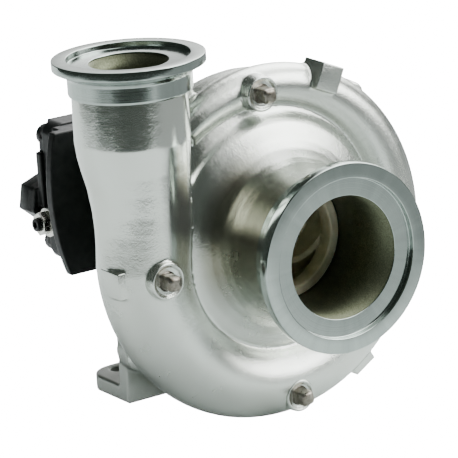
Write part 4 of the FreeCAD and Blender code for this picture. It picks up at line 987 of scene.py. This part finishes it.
def make_world():
    """A dim room with soft white panels, which the camera itself sees as white paper."""
    world = bpy.data.worlds.new("studio")
    bpy.context.scene.world = world
    world.use_nodes = True
    tree = world.node_tree
    where = tree.nodes.new("ShaderNodeTexCoord").outputs["Generated"]

    def maths(kind, first, second=None):
        node = tree.nodes.new("ShaderNodeMath")
        node.operation = kind
        for socket, value in enumerate((first, second)):
            if isinstance(value, bpy.types.NodeSocket):
                tree.links.new(value, node.inputs[socket])
            elif value is not None:
                node.inputs[socket].default_value = value
        return node.outputs[0]

    def along(direction):
        node = tree.nodes.new("ShaderNodeVectorMath")
        node.operation = "DOT_PRODUCT"
        node.inputs[1].default_value = direction
        tree.links.new(where, node.inputs[0])
        return node.outputs["Value"]

    def edge(offset, half, soft):
        node = tree.nodes.new("ShaderNodeMapRange")
        node.interpolation_type = "SMOOTHSTEP"
        tree.links.new(maths("ABSOLUTE", offset), node.inputs["Value"])
        limits = {"From Min": half - soft, "From Max": half + soft, "To Min": 1, "To Max": 0}
        for name, value in limits.items():
            node.inputs[name].default_value = value
        return node.outputs[0]

    light = None
    for azimuth, rise, wide, tall, soft, power in PANELS:
        a, e = math.radians(azimuth), math.radians(rise)
        ahead = Vector((math.sin(a) * math.cos(e), -math.cos(a) * math.cos(e), math.sin(e)))
        side = Vector((math.cos(a), math.sin(a), 0))
        depth = maths("MAXIMUM", along(ahead), 0.02)
        across = edge(maths("DIVIDE", along(side), depth), wide, soft)
        upward = edge(maths("DIVIDE", along(side.cross(ahead)), depth), tall, soft)
        facing = maths("GREATER_THAN", along(ahead), 0.05)
        share = maths("MULTIPLY", maths("MULTIPLY", across, upward), facing)
        tint = tree.nodes.new("ShaderNodeVectorMath")
        tint.operation = "SCALE"
        tint.inputs[0].default_value = (power, power, power)
        tree.links.new(share, tint.inputs["Scale"])
        if light is None:
            light = tint.outputs[0]
        else:
            add = tree.nodes.new("ShaderNodeVectorMath")
            add.operation = "ADD"
            tree.links.new(light, add.inputs[0])
            tree.links.new(tint.outputs[0], add.inputs[1])
            light = add.outputs[0]
    base = tree.nodes.new("ShaderNodeVectorMath")
    base.operation = "ADD"
    base.inputs[1].default_value = ROOM
    tree.links.new(light, base.inputs[0])
    room = tree.nodes["Background"]
    tree.links.new(base.outputs[0], room.inputs["Color"])
    room.inputs["Strength"].default_value = 1.0
    paper = tree.nodes.new("ShaderNodeBackground")
    paper.inputs["Color"].default_value = (1, 1, 1, 1)
    paper.inputs["Strength"].default_value = PAPER_GLOW
    seen = tree.nodes.new("ShaderNodeLightPath")
    mix = tree.nodes.new("ShaderNodeMixShader")
    tree.links.new(seen.outputs["Is Camera Ray"], mix.inputs[0])
    tree.links.new(room.outputs[0], mix.inputs[1])
    tree.links.new(paper.outputs[0], mix.inputs[2])
    tree.links.new(mix.outputs[0], tree.nodes["World Output"].inputs["Surface"])


def make_floor():
    """White paper that ends in front of the pump and to its left, and runs far behind it.

    The corners are metres toward the camera and across the view, from the frame's origin.
    """
    low = cad_box[0][2] - 0.0005
    forward = Vector((math.sin(VIEW_TURN), -math.cos(VIEW_TURN), 0))
    aside = Vector((math.cos(VIEW_TURN), math.sin(VIEW_TURN), 0))
    mesh = bpy.data.meshes.new("floor")
    corners = []
    for along, across in FLOOR_CORNERS:
        spot = forward * along + aside * across
        corners.append((spot.x, spot.y, low))
    mesh.from_pydata(corners, [], [range(len(corners))])
    floor = bpy.data.objects.new("floor", mesh)
    bpy.context.scene.collection.objects.link(floor)
    mesh.materials.append(white_floor())


def make_studio():
    make_world()
    make_floor()
    make_overhead()


make_camera()
dress_nodes()
make_casing()
make_lugs()
make_boss_rims()
make_flanges()
make_copies()
make_studio()
